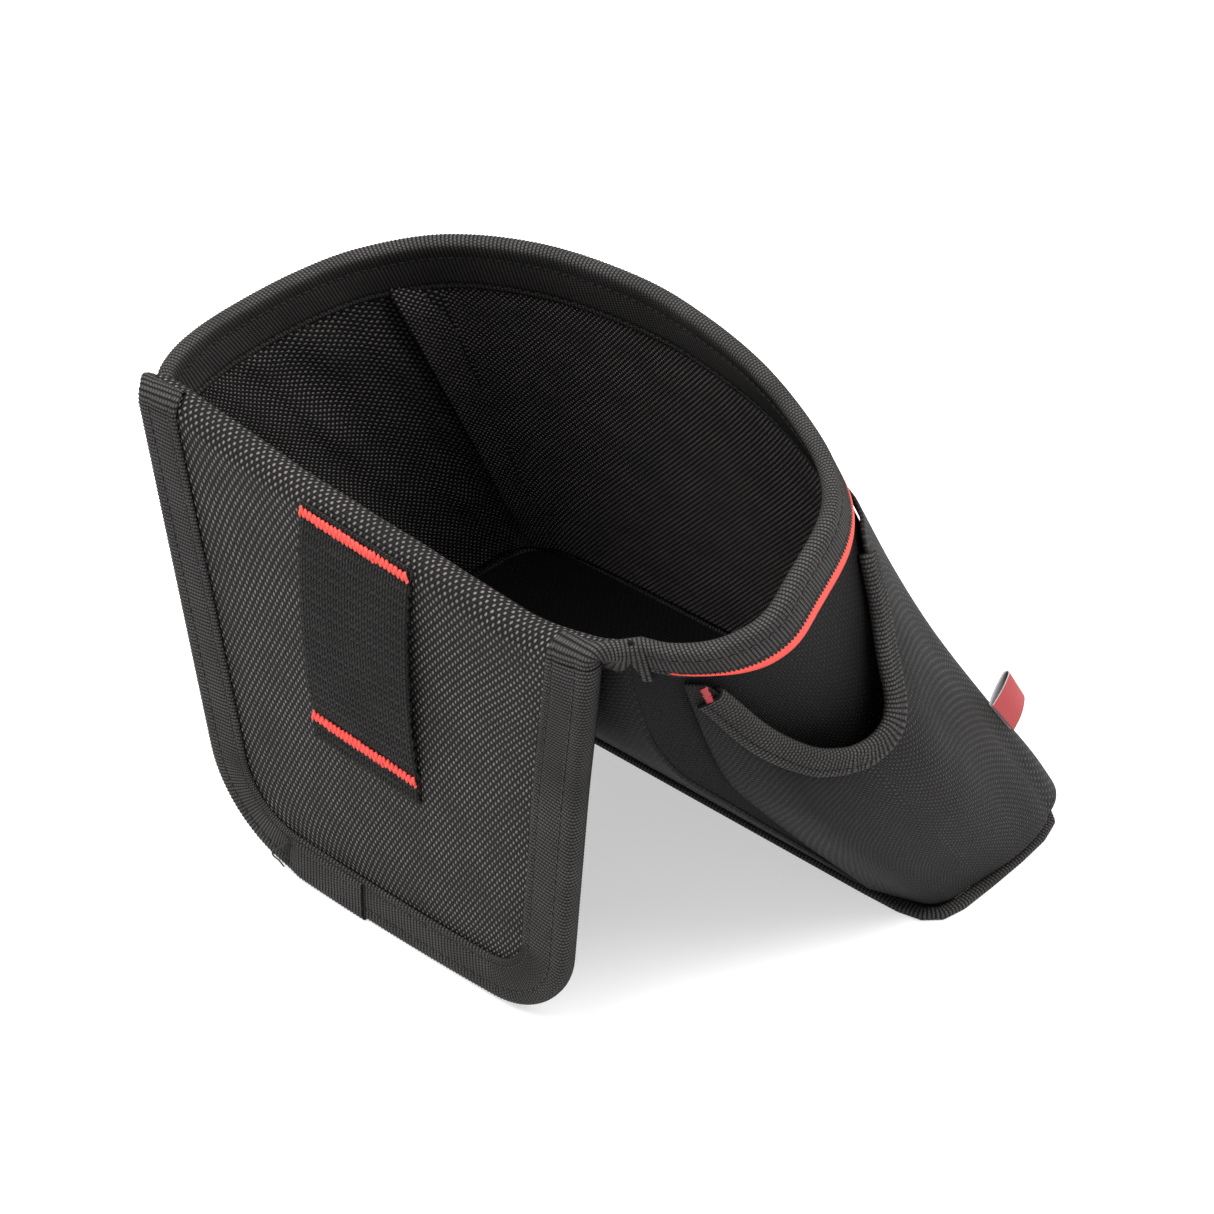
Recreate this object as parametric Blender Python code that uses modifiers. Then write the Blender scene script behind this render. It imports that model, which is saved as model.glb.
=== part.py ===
"""Electrician's slip-over tool pouch, standing open like a tent.

Two legs share one fabric fold. The front leg is a stiffened hanging flap with a
belt-loop webbing. The back leg is the pouch: a boarded back wall, soft side and
front walls, a bound mouth and a puffed pocket on its near side.

Lengths are typed in millimetres in the fold frame, X along the fold, Y from the
flap towards the pouch and Z up from the floor, and placed in metres so that the
origin is under the middle of the whole piece.
"""

import math

import bmesh
import bpy
import numpy as np
from mathutils import Matrix, Vector

# ---------------------------------------------------------------- dimensions, mm
MM = 0.001
CENTRE_X = 8.17           # middle of the whole piece, in the fold frame
CENTRE_Y = 74.54
FOLD_Y = -2.0
FOLD_Z = 137.4            # axis of the fabric fold above the floor
FOLD_RADIUS = 5.1
FOLD_FAR = -82.3          # ends of the fold's cloth
FOLD_NEAR = 71.6
CLOTH = 1.0               # ballistic nylon with its coating
LINING = 0.8
BOARD = 1.4
TAPE = 0.9                # grosgrain, one layer
GAP = 0.3                 # air between two pieces that are sewn together

FLAP_X = -0.6             # the flap hangs a little to the far side
# Each side of the flap outside its binding: half width at the floor, slope, corner radius.
FLAP_FAR_SIDE = (62.3, 0.160, 35.0)
FLAP_NEAR_SIDE = (61.2, 0.086, 27.0)
FLAP_FACE_Y = -7.1        # outside face of the flap's front cloth
FLAP_BINDING = 13.0
WEB_WIDTH = 38.0
WEB_X = -5.0
WEB_THICK = 1.4
WEB_TOP = 132.6
WEB_BOTTOM = 54.5
TACK_TOP = 128.3
TACK_BOTTOM = 62.4
TACK_HEIGHT = 3.2
WEB_BOW = 2.2

RIM_BINDING = 12.0
PIPING = 3.0
POCKET_BINDING = 6.0
BOTTOM_Z = 2.5            # where the walls end above the floor

# One half-turn of the rim and of the bottom, near back corner to far back corner.
RIM = (
    (78.5, -0.5, 136.6), (85.4, 7.5, 132.2), (91.4, 19.5, 130.0), (94.5, 33.0, 131.5),
    (92.6, 46.0, 136.0), (87.0, 65.6, 141.0), (76.2, 80.0, 142.0), (59.0, 92.5, 142.0),
    (32.0, 106.0, 142.0), (5.0, 114.0, 142.0), (-20.0, 117.0, 142.0), (-50.0, 112.5, 142.0),
    (-73.5, 99.0, 142.0), (-87.0, 79.0, 141.5), (-91.8, 58.0, 141.5), (-92.6, 34.0, 141.5),
    (-91.2, 17.0, 141.2), (-88.2, 6.0, 140.2), (-83.8, -0.5, 138.6),
)
BOTTOM = (
    (89.0, 90.0), (90.0, 100.0), (91.0, 110.0), (91.5, 120.0), (92.0, 130.0), (91.5, 140.5),
    (87.5, 149.0), (69.0, 152.5), (40.0, 153.5), (10.0, 154.0), (-15.0, 154.0), (-50.0, 153.5),
    (-75.0, 152.5), (-88.0, 148.0), (-91.5, 139.0), (-92.0, 126.0), (-91.0, 113.0),
    (-90.0, 101.0), (-89.0, 90.0),
)
LAST = len(RIM) - 1
FRONT_NEAR = 6.7          # where the near side wall meets the front
FRONT_FAR = 12.3
# The back wall drops from the fold, then leans away straight to the floor.
BACK_PROFILE = ((-0.5, 137.0), (0.6, 121.0), (4.5, 105.5), (13.5, 88.8), (31.0, 68.8),
                (57.0, 39.58), (90.0, BOTTOM_Z))
BOTTOM_OUTLINE = (
    (-86.0, 90.8), (-58.0, 90.6), (-29.0, 90.6), (0.0, 90.6), (29.0, 90.6), (58.0, 90.6),
    (86.0, 90.6), (98.0, 90.9), (104.6, 92.4), (108.6, 96.2), (110.2, 103.0),
    (110.6, 116.0), (110.6, 129.0), (110.0, 140.0), (108.0, 147.5), (102.5, 152.0),
    (94.0, 154.2), (80.0, 155.0), (53.0, 155.1), (26.0, 155.2), (0.0, 155.2),
    (-26.0, 155.2), (-53.0, 155.0), (-77.0, 154.2), (-85.0, 151.8), (-90.3, 146.0),
    (-92.8, 138.0), (-93.4, 126.0), (-93.4, 113.0), (-92.4, 100.0), (-90.2, 94.0),
)

# ---------------------------------------------------------------- colours, linear
BALLISTIC = ("ballistic_nylon", (0.047, 0.042, 0.040), 0.62)
LINING_CLOTH = ("lining_nylon", (0.022, 0.019, 0.019), 0.70)
GROSGRAIN = ("grosgrain_tape", (0.050, 0.047, 0.044), 0.78)
WEBBING = ("ribbed_webbing", (0.030, 0.027, 0.026), 0.72)
RED = ("red_thread", (0.560, 0.050, 0.040), 0.55)
STIFFENER = ("stiffener_board", (0.055, 0.055, 0.058), 0.50)
LABEL = ("woven_label", (0.420, 0.400, 0.410), 0.75)


# ---------------------------------------------------------------- helpers
def clear_scene():
    for obj in list(bpy.data.objects):
        bpy.data.objects.remove(obj, do_unlink=True)


def collection(name):
    made = bpy.data.collections.new(name)
    bpy.context.scene.collection.children.link(made)
    return made


def material(look):
    name, colour, roughness = look
    made = bpy.data.materials.get(name)
    if made is None:
        made = bpy.data.materials.new(name)
        made.use_nodes = True
        shader = made.node_tree.nodes["Principled BSDF"]
        shader.inputs["Base Color"].default_value = (*colour, 1.0)
        shader.inputs["Roughness"].default_value = roughness
        shader.inputs["Metallic"].default_value = 0.0
        made.diffuse_color = (*colour, 1.0)
    return made


def place(point):
    """A point of the fold frame, in metres of the placed piece."""
    return ((point[0] - CENTRE_X) * MM, (point[1] - CENTRE_Y) * MM, point[2] * MM)


def finish(name, bm, look, home, parent=None):
    """Makes the object, hung from its parent's axis when it has one."""
    bmesh.ops.recalc_face_normals(bm, faces=bm.faces)
    mesh = bpy.data.meshes.new(name)
    if parent is not None:
        bmesh.ops.translate(bm, verts=bm.verts, vec=-parent.location)
    bm.to_mesh(mesh)
    bm.free()
    mesh.materials.append(material(look))
    obj = bpy.data.objects.new(name, mesh)
    home.objects.link(obj)
    if parent is not None:
        obj.parent = parent
    return obj


def axis_empty(name, point, home):
    made = bpy.data.objects.new(name, None)
    made.location = place(point)
    home.objects.link(made)
    return made


def spline(points, t):
    """Catmull-Rom through the points, at parameter t counted in points."""
    count = len(points)
    t = min(max(t, 0.0), count - 1.0)
    start = min(int(math.floor(t)), count - 2)
    part = t - start
    picked = []
    for step in (-1, 0, 1, 2):
        index = start + step
        if index < 0:
            picked.append(2 * np.array(points[0], float) - np.array(points[1], float))
        elif index >= count:
            picked.append(2 * np.array(points[-1], float) - np.array(points[-2], float))
        else:
            picked.append(np.array(points[index], float))
    a, b, c, d = picked
    return 0.5 * (2 * b + (c - a) * part + (2 * a - 5 * b + 4 * c - d) * part ** 2
                  + (3 * b - a - 3 * c + d) * part ** 3)


def ramp(x, stops):
    """Smooth steps between the (x, value) stops."""
    if x <= stops[0][0]:
        return stops[0][1]
    for (x0, y0), (x1, y1) in zip(stops, stops[1:]):
        if x <= x1:
            part = (x - x0) / (x1 - x0)
            part = part * part * (3 - 2 * part)
            return y0 + (y1 - y0) * part
    return stops[-1][1]


def curve(x, stops):
    """One smooth line through the (x, value) stops."""
    xs, ys = np.array(stops, float).T
    slopes = np.gradient(ys, xs)
    x = min(max(x, xs[0]), xs[-1])
    i = min(max(int(np.searchsorted(xs, x, side="right")) - 1, 0), len(xs) - 2)
    step = xs[i + 1] - xs[i]
    t = (x - xs[i]) / step
    return ((1 + 2 * t) * (1 - t) ** 2 * ys[i] + t * (1 - t) ** 2 * step * slopes[i]
            + t * t * (3 - 2 * t) * ys[i + 1] - t * t * (1 - t) * step * slopes[i + 1])


def even(first, last, count):
    return [first + (last - first) * i / (count - 1) for i in range(count)]


# ---------------------------------------------------------------- shape of the pouch
def back_point(v):
    """The back wall's outside line (Y, Z) at v, from the fold to the floor."""
    y, z = spline(BACK_PROFILE, v * (len(BACK_PROFILE) - 1))
    return y, z


def wall(u, v):
    """The outside of the soft walls: u runs near corner to far corner, v rim to bottom."""
    top = spline(RIM, u)
    low = np.array([*spline(BOTTOM, u), BOTTOM_Z])
    point = top * (1 - v) + low * v
    edge = min(u, LAST - u)
    follow = max(0.0, 1 - edge / 3.0) ** 2
    if follow > 0:
        corner = 0 if u < LAST / 2 else LAST
        straight = np.array(RIM[corner]) * (1 - v)
        straight = straight + np.array([*BOTTOM[corner], BOTTOM_Z]) * v
        y, z = back_point(v)
        point = point + follow * np.array([0.0, y - straight[1], z - straight[2]])
    taut = 1 - 0.9 * math.exp(-((u - 5.8) / 1.5) ** 2)
    belly = 3.5 * math.sin(math.pi * v) * min(1.0, edge / 2.5) * taut
    across = spline(RIM, min(u + 0.05, LAST)) - spline(RIM, max(u - 0.05, 0.0))
    out = np.array([across[1], -across[0], 0.0])
    return point + belly * out / np.linalg.norm(out)


def wall_normal(u, v):
    """Outward normal of the soft walls."""
    du = wall(min(u + 0.04, LAST), v) - wall(max(u - 0.04, 0.0), v)
    dv = wall(u, min(v + 0.02, 1.0)) - wall(u, max(v - 0.02, 0.0))
    normal = np.cross(dv, du)
    normal = normal / np.linalg.norm(normal)
    out = wall(u, v) - np.array([0.0, 80.0, 70.0])
    return normal if normal @ out > 0 else -normal


def wall_length(u):
    line = [wall(u, v) for v in even(0.0, 1.0, 9)]
    return sum(np.linalg.norm(b - a) for a, b in zip(line, line[1:]))


def wall_at(u, depth):
    """(point, normal) of the soft wall, this many millimetres under the rim."""
    v = depth / wall_length(u)
    return wall(u, v), wall_normal(u, v)


# ---------------------------------------------------------------- shape of the pocket
POCKET_FAR_U = 6.45
POCKET_PUFF = ((0.10, 2.0), (0.20, 3.0), (0.30, 5.0), (0.38, 7.5), (0.55, 12.5),
               (0.75, 15.5), (1.0, 17.0))
# The front corner stands out less, except low down.
CORNER_PUFF = ((0.10, 1.4), (0.30, 1.6), (0.45, 3.2), (0.70, 9.0), (0.90, 15.0), (1.0, 16.5))
POCKET_SECTION = ((0.0, 0.0), (0.05, 0.42), (0.11, 0.84), (0.18, 0.98), (0.30, 1.0),
                  (0.82, 1.0), (0.90, 0.92), (0.95, 0.62), (0.98, 0.25), (1.0, 0.0))
SCOOP = ((0.0, 0.105), (0.07, 0.108), (0.10, 0.155), (0.14, 0.26), (0.20, 0.345), (0.28, 0.385),
         (0.36, 0.395), (0.46, 0.38), (0.58, 0.32), (0.68, 0.23), (0.76, 0.14), (0.82, 0.108),
         (1.0, 0.108))


def pocket_u(a, v):
    rear = 1.0 - 0.85 * v
    return rear + a * (POCKET_FAR_U - rear)


def pocket(a, v):
    """The inside face of the puffed pocket: a runs rear seam to front seam."""
    u = pocket_u(a, v)
    normal = wall_normal(u, v)
    flat = np.array([normal[0], normal[1], 0.0])
    flat = flat / np.linalg.norm(flat)
    near_front = ramp(a, ((0.45, 0.0), (0.85, 1.0)))
    puff = curve(v, POCKET_PUFF) * (1 - near_front) + curve(v, CORNER_PUFF) * near_front
    puff = puff * max(curve(a, POCKET_SECTION), 0.0)
    return wall(u, v) + normal * 0.35 + flat * puff


def pocket_normal(a, v):
    da = pocket(min(a + 0.01, 1.0), v) - pocket(max(a - 0.01, 0.0), v)
    dv = pocket(a, min(v + 0.01, 1.0)) - pocket(a, max(v - 0.01, 0.0))
    normal = np.cross(dv, da)
    normal = normal / np.linalg.norm(normal)
    u = pocket_u(a, v)
    return normal if normal @ wall_normal(u, v) > 0 else -normal


# ---------------------------------------------------------------- builders
def sheet(name, rows, facing, thick, look, home, parent=None):
    """An open grid of points, thickened by Solidify away from the side it faces."""
    bm = bmesh.new()
    grid = [[bm.verts.new(place(point)) for point in row] for row in rows]
    for upper, lower in zip(grid, grid[1:]):
        for i in range(len(upper) - 1):
            bm.faces.new((upper[i], upper[i + 1], lower[i + 1], lower[i]))
    bm.normal_update()
    bm.faces.ensure_lookup_table()
    middle = bm.faces[(len(rows) // 2) * (len(rows[0]) - 1) - (len(rows[0]) // 2)]
    if middle.normal.dot(Vector(facing)) < 0:
        bmesh.ops.reverse_faces(bm, faces=bm.faces)
    mesh = bpy.data.meshes.new(name)
    if parent is not None:
        bmesh.ops.translate(bm, verts=bm.verts, vec=-parent.location)
    bm.to_mesh(mesh)
    bm.free()
    mesh.materials.append(material(look))
    obj = bpy.data.objects.new(name, mesh)
    home.objects.link(obj)
    if parent is not None:
        obj.parent = parent
    thicken = obj.modifiers.new("thickness", "SOLIDIFY")
    thicken.thickness = thick * MM
    thicken.offset = -1.0
    thicken.use_even_offset = True
    return obj


def wall_sheet(name, first, last, columns, rows, inset, thick, look, home, top=0.6, low=1.0):
    """One soft panel between two seams, its outside face set in from the wall by inset."""
    lines = []
    for v_step in even(0.0, low, rows):
        line = []
        for u in even(first, last, columns):
            v = max(v_step, top / wall_length(u))
            line.append(wall(u, v) - wall_normal(u, v) * inset)
        lines.append(line)
    return sheet(name, lines, wall_normal((first + last) / 2, 0.5), thick, look, home)


def back_sheet(name, margin, inset, thick, look, home, first=0.0, last=1.0):
    """One layer of the back wall, inset from its belt side."""
    lines = []
    for v in even(first, last, 14):
        y, z = back_point(v)
        ahead = np.array(back_point(min(v + 0.01, 1.0)))
        behind = np.array(back_point(max(v - 0.01, 0.0)))
        run = ahead - behind
        inward = np.array([-run[1], run[0]]) / np.linalg.norm(run)
        far = 83.8 + 5.2 * v - margin
        near = 78.5 + 10.5 * v - margin
        line = [(x, y + inward[0] * inset, z + inward[1] * inset) for x in even(-far, near, 13)]
        lines.append(line)
    return sheet(name, lines, (0.0, -1.0, -1.0), thick, look, home)


def edge_binding(name, columns, low, high, look, home, parent=None):
    """A tape folded over a cloth edge. Each column holds (point, normal) pairs running
    from the edge into the cloth, and the cloth lies between low and high along them."""
    bm = bmesh.new()
    loops = []
    for column in columns:
        away = column[0][0] - column[1][0]
        away = away / np.linalg.norm(away)
        edge, normal = column[0]
        outer = high + GAP
        inner = low - GAP
        ring = [point + n * (outer + TAPE) for point, n in reversed(column)]
        ring.append(edge + away * (GAP + TAPE) + normal * (outer + TAPE * 0.4))
        ring.append(edge + away * (GAP + TAPE) + normal * (inner - TAPE * 0.4))
        ring += [point + n * (inner - TAPE) for point, n in column]
        ring += [point + n * inner for point, n in reversed(column)]
        ring.append(edge + away * GAP + normal * inner)
        ring.append(edge + away * GAP + normal * outer)
        ring += [point + n * outer for point, n in column]
        loops.append([bm.verts.new(place(point)) for point in ring])
    for first, second in zip(loops, loops[1:]):
        for i in range(len(first)):
            j = (i + 1) % len(first)
            bm.faces.new((first[i], first[j], second[j], second[i]))
    bm.faces.new(loops[0])
    bm.faces.new(list(reversed(loops[-1])))
    return finish(name, bm, look, home, parent)


def slab(name, corner, size, look, home, parent=None, bevel=0.0):
    """A box from its low corner, with its edges eased."""
    bm = bmesh.new()
    bmesh.ops.create_cube(bm, size=1.0)
    low = Vector(place(corner))
    scale = Vector(size) * MM
    bmesh.ops.scale(bm, verts=bm.verts, vec=scale)
    bmesh.ops.translate(bm, verts=bm.verts, vec=low + scale / 2)
    if bevel > 0:
        bmesh.ops.bevel(bm, geom=bm.edges[:], offset=bevel * MM, segments=2,
                        affect="EDGES", profile=0.5, material=-1)
    return finish(name, bm, look, home, parent)


def plate(name, outline, y_front, thick, look, home, parent=None):
    """A flat panel standing in XZ, extruded from its outline towards +Y."""
    bm = bmesh.new()
    ring = [bm.verts.new(place((x, y_front, z))) for x, z in outline]
    face = bm.faces.new(ring)
    made = bmesh.ops.extrude_face_region(bm, geom=[face])
    moved = [item for item in made["geom"] if isinstance(item, bmesh.types.BMVert)]
    bmesh.ops.translate(bm, verts=moved, vec=(0.0, thick * MM, 0.0))
    return finish(name, bm, look, home, parent)


# ---------------------------------------------------------------- flap
def flap_side(side, inset, top):
    """(x, z) round one lower corner and up that side, and where the corner starts."""
    half, slope, corner = side
    lean = math.atan(slope)
    radius = corner - inset
    base = 1.2 + inset
    half = half - inset / math.cos(lean)
    centre_z = base + radius
    centre_x = half + slope * centre_z - radius / math.cos(lean)
    points = []
    for i in range(9):
        angle = -math.pi / 2 + (math.pi / 2 - lean) * i / 8
        points.append((centre_x + radius * math.cos(angle), centre_z + radius * math.sin(angle)))
    points += [(half + slope * z, z) for z in even(points[-1][1], top, 6)[1:]]
    return points, centre_x


def flap_outline(inset, top=FOLD_Z - 0.4):
    """(x, z) down the far side, along the bottom and up the near side."""
    far, far_start = flap_side(FLAP_FAR_SIDE, inset, top)
    near, near_start = flap_side(FLAP_NEAR_SIDE, inset, top)
    bottom = []
    for x in even(-far_start, near_start, 7)[1:-1]:
        share = x / (near_start if x > 0 else far_start)
        bottom.append((x, 1.2 + inset - 0.9 * (1 - share ** 2)))
    return [(-x, z) for x, z in reversed(far)] + bottom + near


def flap_columns(leg):
    """Edge columns for the binding round the flap's three free sides."""
    line = flap_outline(GAP + TAPE + 0.1)
    columns = []
    for i, (x, z) in enumerate(line):
        before = line[max(i - 1, 0)]
        after = line[min(i + 1, len(line) - 1)]
        run = np.array([after[0] - before[0], after[1] - before[1]])
        run = run / np.linalg.norm(run)
        inward = np.array([-run[1], run[0]])
        column = []
        for depth in (0.0, leg / 2, leg):
            point = np.array([x + inward[0] * depth, FLAP_FACE_Y, z + inward[1] * depth])
            column.append((point, np.array([0.0, -1.0, 0.0])))
        columns.append(column)
    return columns


def webbing_line():
    """(y, z) of the webbing's face next to the flap, bowed between its two bartacks."""
    rest = FLAP_FACE_Y - GAP
    line = [(rest, WEB_BOTTOM), (rest, TACK_BOTTOM - 2.0), (rest, TACK_BOTTOM + 2.0)]
    for i in range(1, 12):
        part = i / 12
        z = TACK_BOTTOM + 2.0 + (TACK_TOP - TACK_BOTTOM - 4.0) * part
        line.append((rest - WEB_BOW * math.sin(math.pi * part) ** 0.6, z))
    line += [(rest, TACK_TOP - 2.0), (rest, TACK_TOP + 2.0), (rest, WEB_TOP)]
    return line


def build_webbing(home, parent):
    line = webbing_line()
    rows = [[(WEB_X + side * WEB_WIDTH / 2, y - WEB_THICK, z) for side in (1, 0.5, 0, -0.5, -1)]
            for y, z in line]
    return sheet("belt_loop_webbing", rows, (0.0, -1.0, 0.0), WEB_THICK, WEBBING, home, parent)


def build_tack(name, z, home, parent):
    y = FLAP_FACE_Y - GAP - WEB_THICK - GAP - 0.7
    corner = (WEB_X - WEB_WIDTH / 2 + 0.6, y, z - TACK_HEIGHT / 2)
    slab(name, corner, (WEB_WIDTH - 1.2, 0.7, TACK_HEIGHT), RED, home, parent, 0.15)


def build_overlap(home, parent):
    """The end of the binding tape, lapped over its start at the bottom edge."""
    line = flap_outline(0.3)
    picked = [(x, z) for x, z in line if -38.0 < x < 2.0 and z < 12.0]
    first = (-37.0, np.interp(-37.0, [x for x, z in line[3:20]], [z for x, z in line[3:20]]))
    picked = [first] + [p for p in picked if p[0] > -36.0] + [(-8.0, picked[-1][1])]
    picked = sorted(set((round(x, 3), round(z, 3)) for x, z in picked if x <= -8.0))
    y = FLAP_FACE_Y - GAP - TAPE - GAP - TAPE
    rows = [[(x, y, z + 1.0 + rise) for x, z in reversed(picked)]
            for rise in (FLAP_BINDING - 1.5, FLAP_BINDING / 2, 0.0)]
    sheet("binding_overlap", rows, (0.0, -1.0, 0.0), TAPE, GROSGRAIN, home, parent)


def build_thread(home, parent):
    """The loose end of sewing thread hanging at the binding's lap."""
    curve = bpy.data.curves.new("thread_tail", "CURVE")
    curve.dimensions = "3D"
    curve.bevel_depth = 0.22 * MM
    curve.bevel_resolution = 1
    curve.resolution_u = 4
    curve.use_fill_caps = True
    line = curve.splines.new("BEZIER")
    points = ((-37.5, -9.0, 12.5), (-41.0, -10.2, 9.0), (-39.5, -9.6, 4.2))
    line.bezier_points.add(len(points) - 1)
    for knot, point in zip(line.bezier_points, points):
        knot.co = Vector(place(point)) - parent.location
        knot.handle_left_type = "AUTO"
        knot.handle_right_type = "AUTO"
    curve.materials.append(material(GROSGRAIN))
    obj = bpy.data.objects.new("thread_tail", curve)
    home.objects.link(obj)
    obj.parent = parent


def build_flap(home):
    axis = axis_empty("flap_fold_axis", (FLAP_X, FOLD_Y, FOLD_Z), home)
    under = GAP + TAPE + 0.1
    plate("flap_outer_panel", flap_outline(under), FLAP_FACE_Y, CLOTH, BALLISTIC, home, axis)
    board_y = FLAP_FACE_Y + CLOTH + GAP
    board = flap_outline(under + 5.0, FOLD_Z - 8.0)
    plate("flap_stiffener_board", board, board_y, BOARD, STIFFENER, home, axis)
    inner_y = board_y + BOARD + GAP
    plate("flap_inner_panel", flap_outline(under), inner_y, LINING, LINING_CLOTH, home, axis)
    depth = inner_y + LINING - FLAP_FACE_Y
    edge_binding("flap_edge_binding", flap_columns(FLAP_BINDING), -depth, 0.0, GROSGRAIN, home,
                 axis)
    build_webbing(home, axis)
    build_tack("upper_loop_bartack", TACK_TOP, home, axis)
    build_tack("lower_loop_bartack", TACK_BOTTOM, home, axis)
    build_overlap(home, axis)
    build_thread(home, axis)


# ---------------------------------------------------------------- pouch
def build_fold(home):
    """The cloth rolled over from the flap into the mouth."""
    rows = []
    for i in range(11):
        angle = math.pi * i / 10
        y = FOLD_Y - FOLD_RADIUS * math.cos(angle)
        z = FOLD_Z + FOLD_RADIUS * math.sin(angle)
        rows.append([(x, y, z) for x in even(FOLD_FAR, FOLD_NEAR, 9)])
    sheet("fold_cloth", rows, (0.0, 0.0, 1.0), CLOTH, BALLISTIC, home)


def build_walls(home):
    seam = 0.012
    wall_sheet("near_side_wall", 0.0, FRONT_NEAR - seam, 15, 12, 0.0, CLOTH, BALLISTIC, home)
    wall_sheet("front_panel", FRONT_NEAR + seam, FRONT_FAR - seam, 18, 12, 0.0, CLOTH,
               BALLISTIC, home)
    wall_sheet("far_side_wall", FRONT_FAR + seam, LAST, 13, 12, 0.0, CLOTH, BALLISTIC, home)
    inset = CLOTH + 0.4
    wall_sheet("near_gusset_lining", 0.5, FRONT_NEAR - seam, 15, 12, inset, LINING,
               LINING_CLOTH, home, low=0.985)
    wall_sheet("front_lining", FRONT_NEAR + seam, FRONT_FAR - seam, 18, 12, inset, LINING,
               LINING_CLOTH, home, low=0.985)
    wall_sheet("far_gusset_lining", FRONT_FAR + seam, LAST - 0.42, 13, 12, inset, LINING,
               LINING_CLOTH, home, low=0.985)


def build_back(home):
    back_sheet("back_outer_panel", 1.5, 0.0, CLOTH, BALLISTIC, home)
    back_sheet("back_stiffener_board", 7.0, CLOTH + GAP, BOARD, STIFFENER, home, 0.30, 0.97)
    back_sheet("back_lining", 3.1, CLOTH + BOARD + 2 * GAP + 0.1, LINING, LINING_CLOTH, home,
               0.012, 0.985)


def build_bottom(home):
    line = [np.array(point) for point in BOTTOM_OUTLINE]
    count = len(line)
    normals = []
    for i in range(count):
        run = line[(i + 1) % count] - line[i - 1]
        normals.append(np.array([run[1], -run[0]]) / np.linalg.norm(run))
    bm = bmesh.new()
    section = ((1.2, 0.5), (0.7, 0.0), (-2.2, 0.0), (-2.6, 0.5), (-2.6, 1.8), (-2.2, 2.2),
               (0.7, 2.2), (1.2, 1.7))
    loops = []
    for point, normal in zip(line, normals):
        ring = [(*(point + normal * out), z) for out, z in section]
        loops.append([bm.verts.new(place(p)) for p in ring])
    for i in range(count):
        first = loops[i]
        second = loops[(i + 1) % count]
        for j in range(len(section)):
            k = (j + 1) % len(section)
            bm.faces.new((first[j], first[k], second[k], second[j]))
    finish("bottom_seam_binding", bm, GROSGRAIN, home)
    bm = bmesh.new()
    ring = [bm.verts.new(place((*(point - normal * 3.4), 0.7)))
            for point, normal in zip(line, normals)]
    face = bm.faces.new(ring)
    made = bmesh.ops.extrude_face_region(bm, geom=[face])
    moved = [item for item in made["geom"] if isinstance(item, bmesh.types.BMVert)]
    bmesh.ops.translate(bm, verts=moved, vec=(0.0, 0.0, 1.3 * MM))
    finish("bottom_panel", bm, BALLISTIC, home)


def build_rim(home):
    columns = []
    for u in even(0.35, LAST - 0.35, 62):
        columns.append([wall_at(u, depth) for depth in (0.6, 6.0, RIM_BINDING)])
    depth = CLOTH + 0.4 + LINING
    edge_binding("mouth_binding", columns, -depth, 0.0, GROSGRAIN, home)
    rows = []
    for down in (RIM_BINDING + 0.35, RIM_BINDING + PIPING / 2 + 0.35, RIM_BINDING + PIPING):
        line = []
        for u in even(0.6, LAST - 0.6, 52):
            point, normal = wall_at(u, down)
            line.append(point + normal * (GAP + TAPE))
        rows.append(line)
    sheet("red_piping", rows, wall_normal(LAST / 2, 0.1), TAPE, RED, home)


# ---------------------------------------------------------------- side pocket
POCKET_STEPS = (0.0, 0.025, 0.05, 0.08, 0.105, 0.12, 0.14, 0.165, 0.19, 0.225, 0.27, 0.33, 0.40,
                0.47, 0.54, 0.60, 0.65, 0.69, 0.73, 0.765, 0.80, 0.84, 0.88, 0.91, 0.94, 0.965,
                0.985, 1.0)


def scoop(a):
    return max(curve(a, SCOOP), 0.105)


def build_pocket(home):
    rows = []
    for b in even(0.0, 1.0, 14):
        line = []
        for a in POCKET_STEPS:
            v = scoop(a) + b * (0.985 - scoop(a))
            line.append(pocket(a, v) + pocket_normal(a, v) * CLOTH)
        rows.append(line)
    sheet("side_pocket_shell", rows, pocket_normal(0.5, 0.7), CLOTH, BALLISTIC, home)


def scoop_column(a):
    """Points of the pocket's outside running in from its mouth edge at a."""
    v = scoop(a)
    run = pocket(a + 0.004, scoop(a + 0.004)) - pocket(a - 0.004, scoop(a - 0.004))
    into = np.cross(run, pocket_normal(a, v))
    into = into / np.linalg.norm(into)
    along = (pocket(a + 0.01, v) - pocket(a - 0.01, v)) / 0.02
    down = (pocket(a, v + 0.01) - pocket(a, v - 0.01)) / 0.02
    basis = np.stack((along, down), axis=1)
    step = np.linalg.lstsq(basis, into, rcond=None)[0]
    column = []
    for part in (0.0, 0.5, 1.0):
        depth = part * POCKET_BINDING - 0.3
        at = (a + step[0] * depth, v + step[1] * depth)
        normal = pocket_normal(*at)
        column.append((pocket(*at) + normal * CLOTH, normal))
    return column


def build_pocket_binding(home):
    columns = [scoop_column(a) for a in even(0.125, 0.745, 34)]
    edge_binding("side_pocket_binding", columns, -CLOTH - 0.25, 0.2, GROSGRAIN, home)


def build_pocket_tack(home):
    """The red bartack that holds the pocket's rear mouth corner."""
    rows = []
    for v in (0.112, 0.135, 0.158):
        rows.append([pocket(a, v) + pocket_normal(a, v) * (CLOTH + GAP + 0.7)
                     for a in (0.045, 0.06, 0.075)])
    sheet("pocket_corner_bartack", rows, pocket_normal(0.06, 0.13), 0.7, RED, home)


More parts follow.
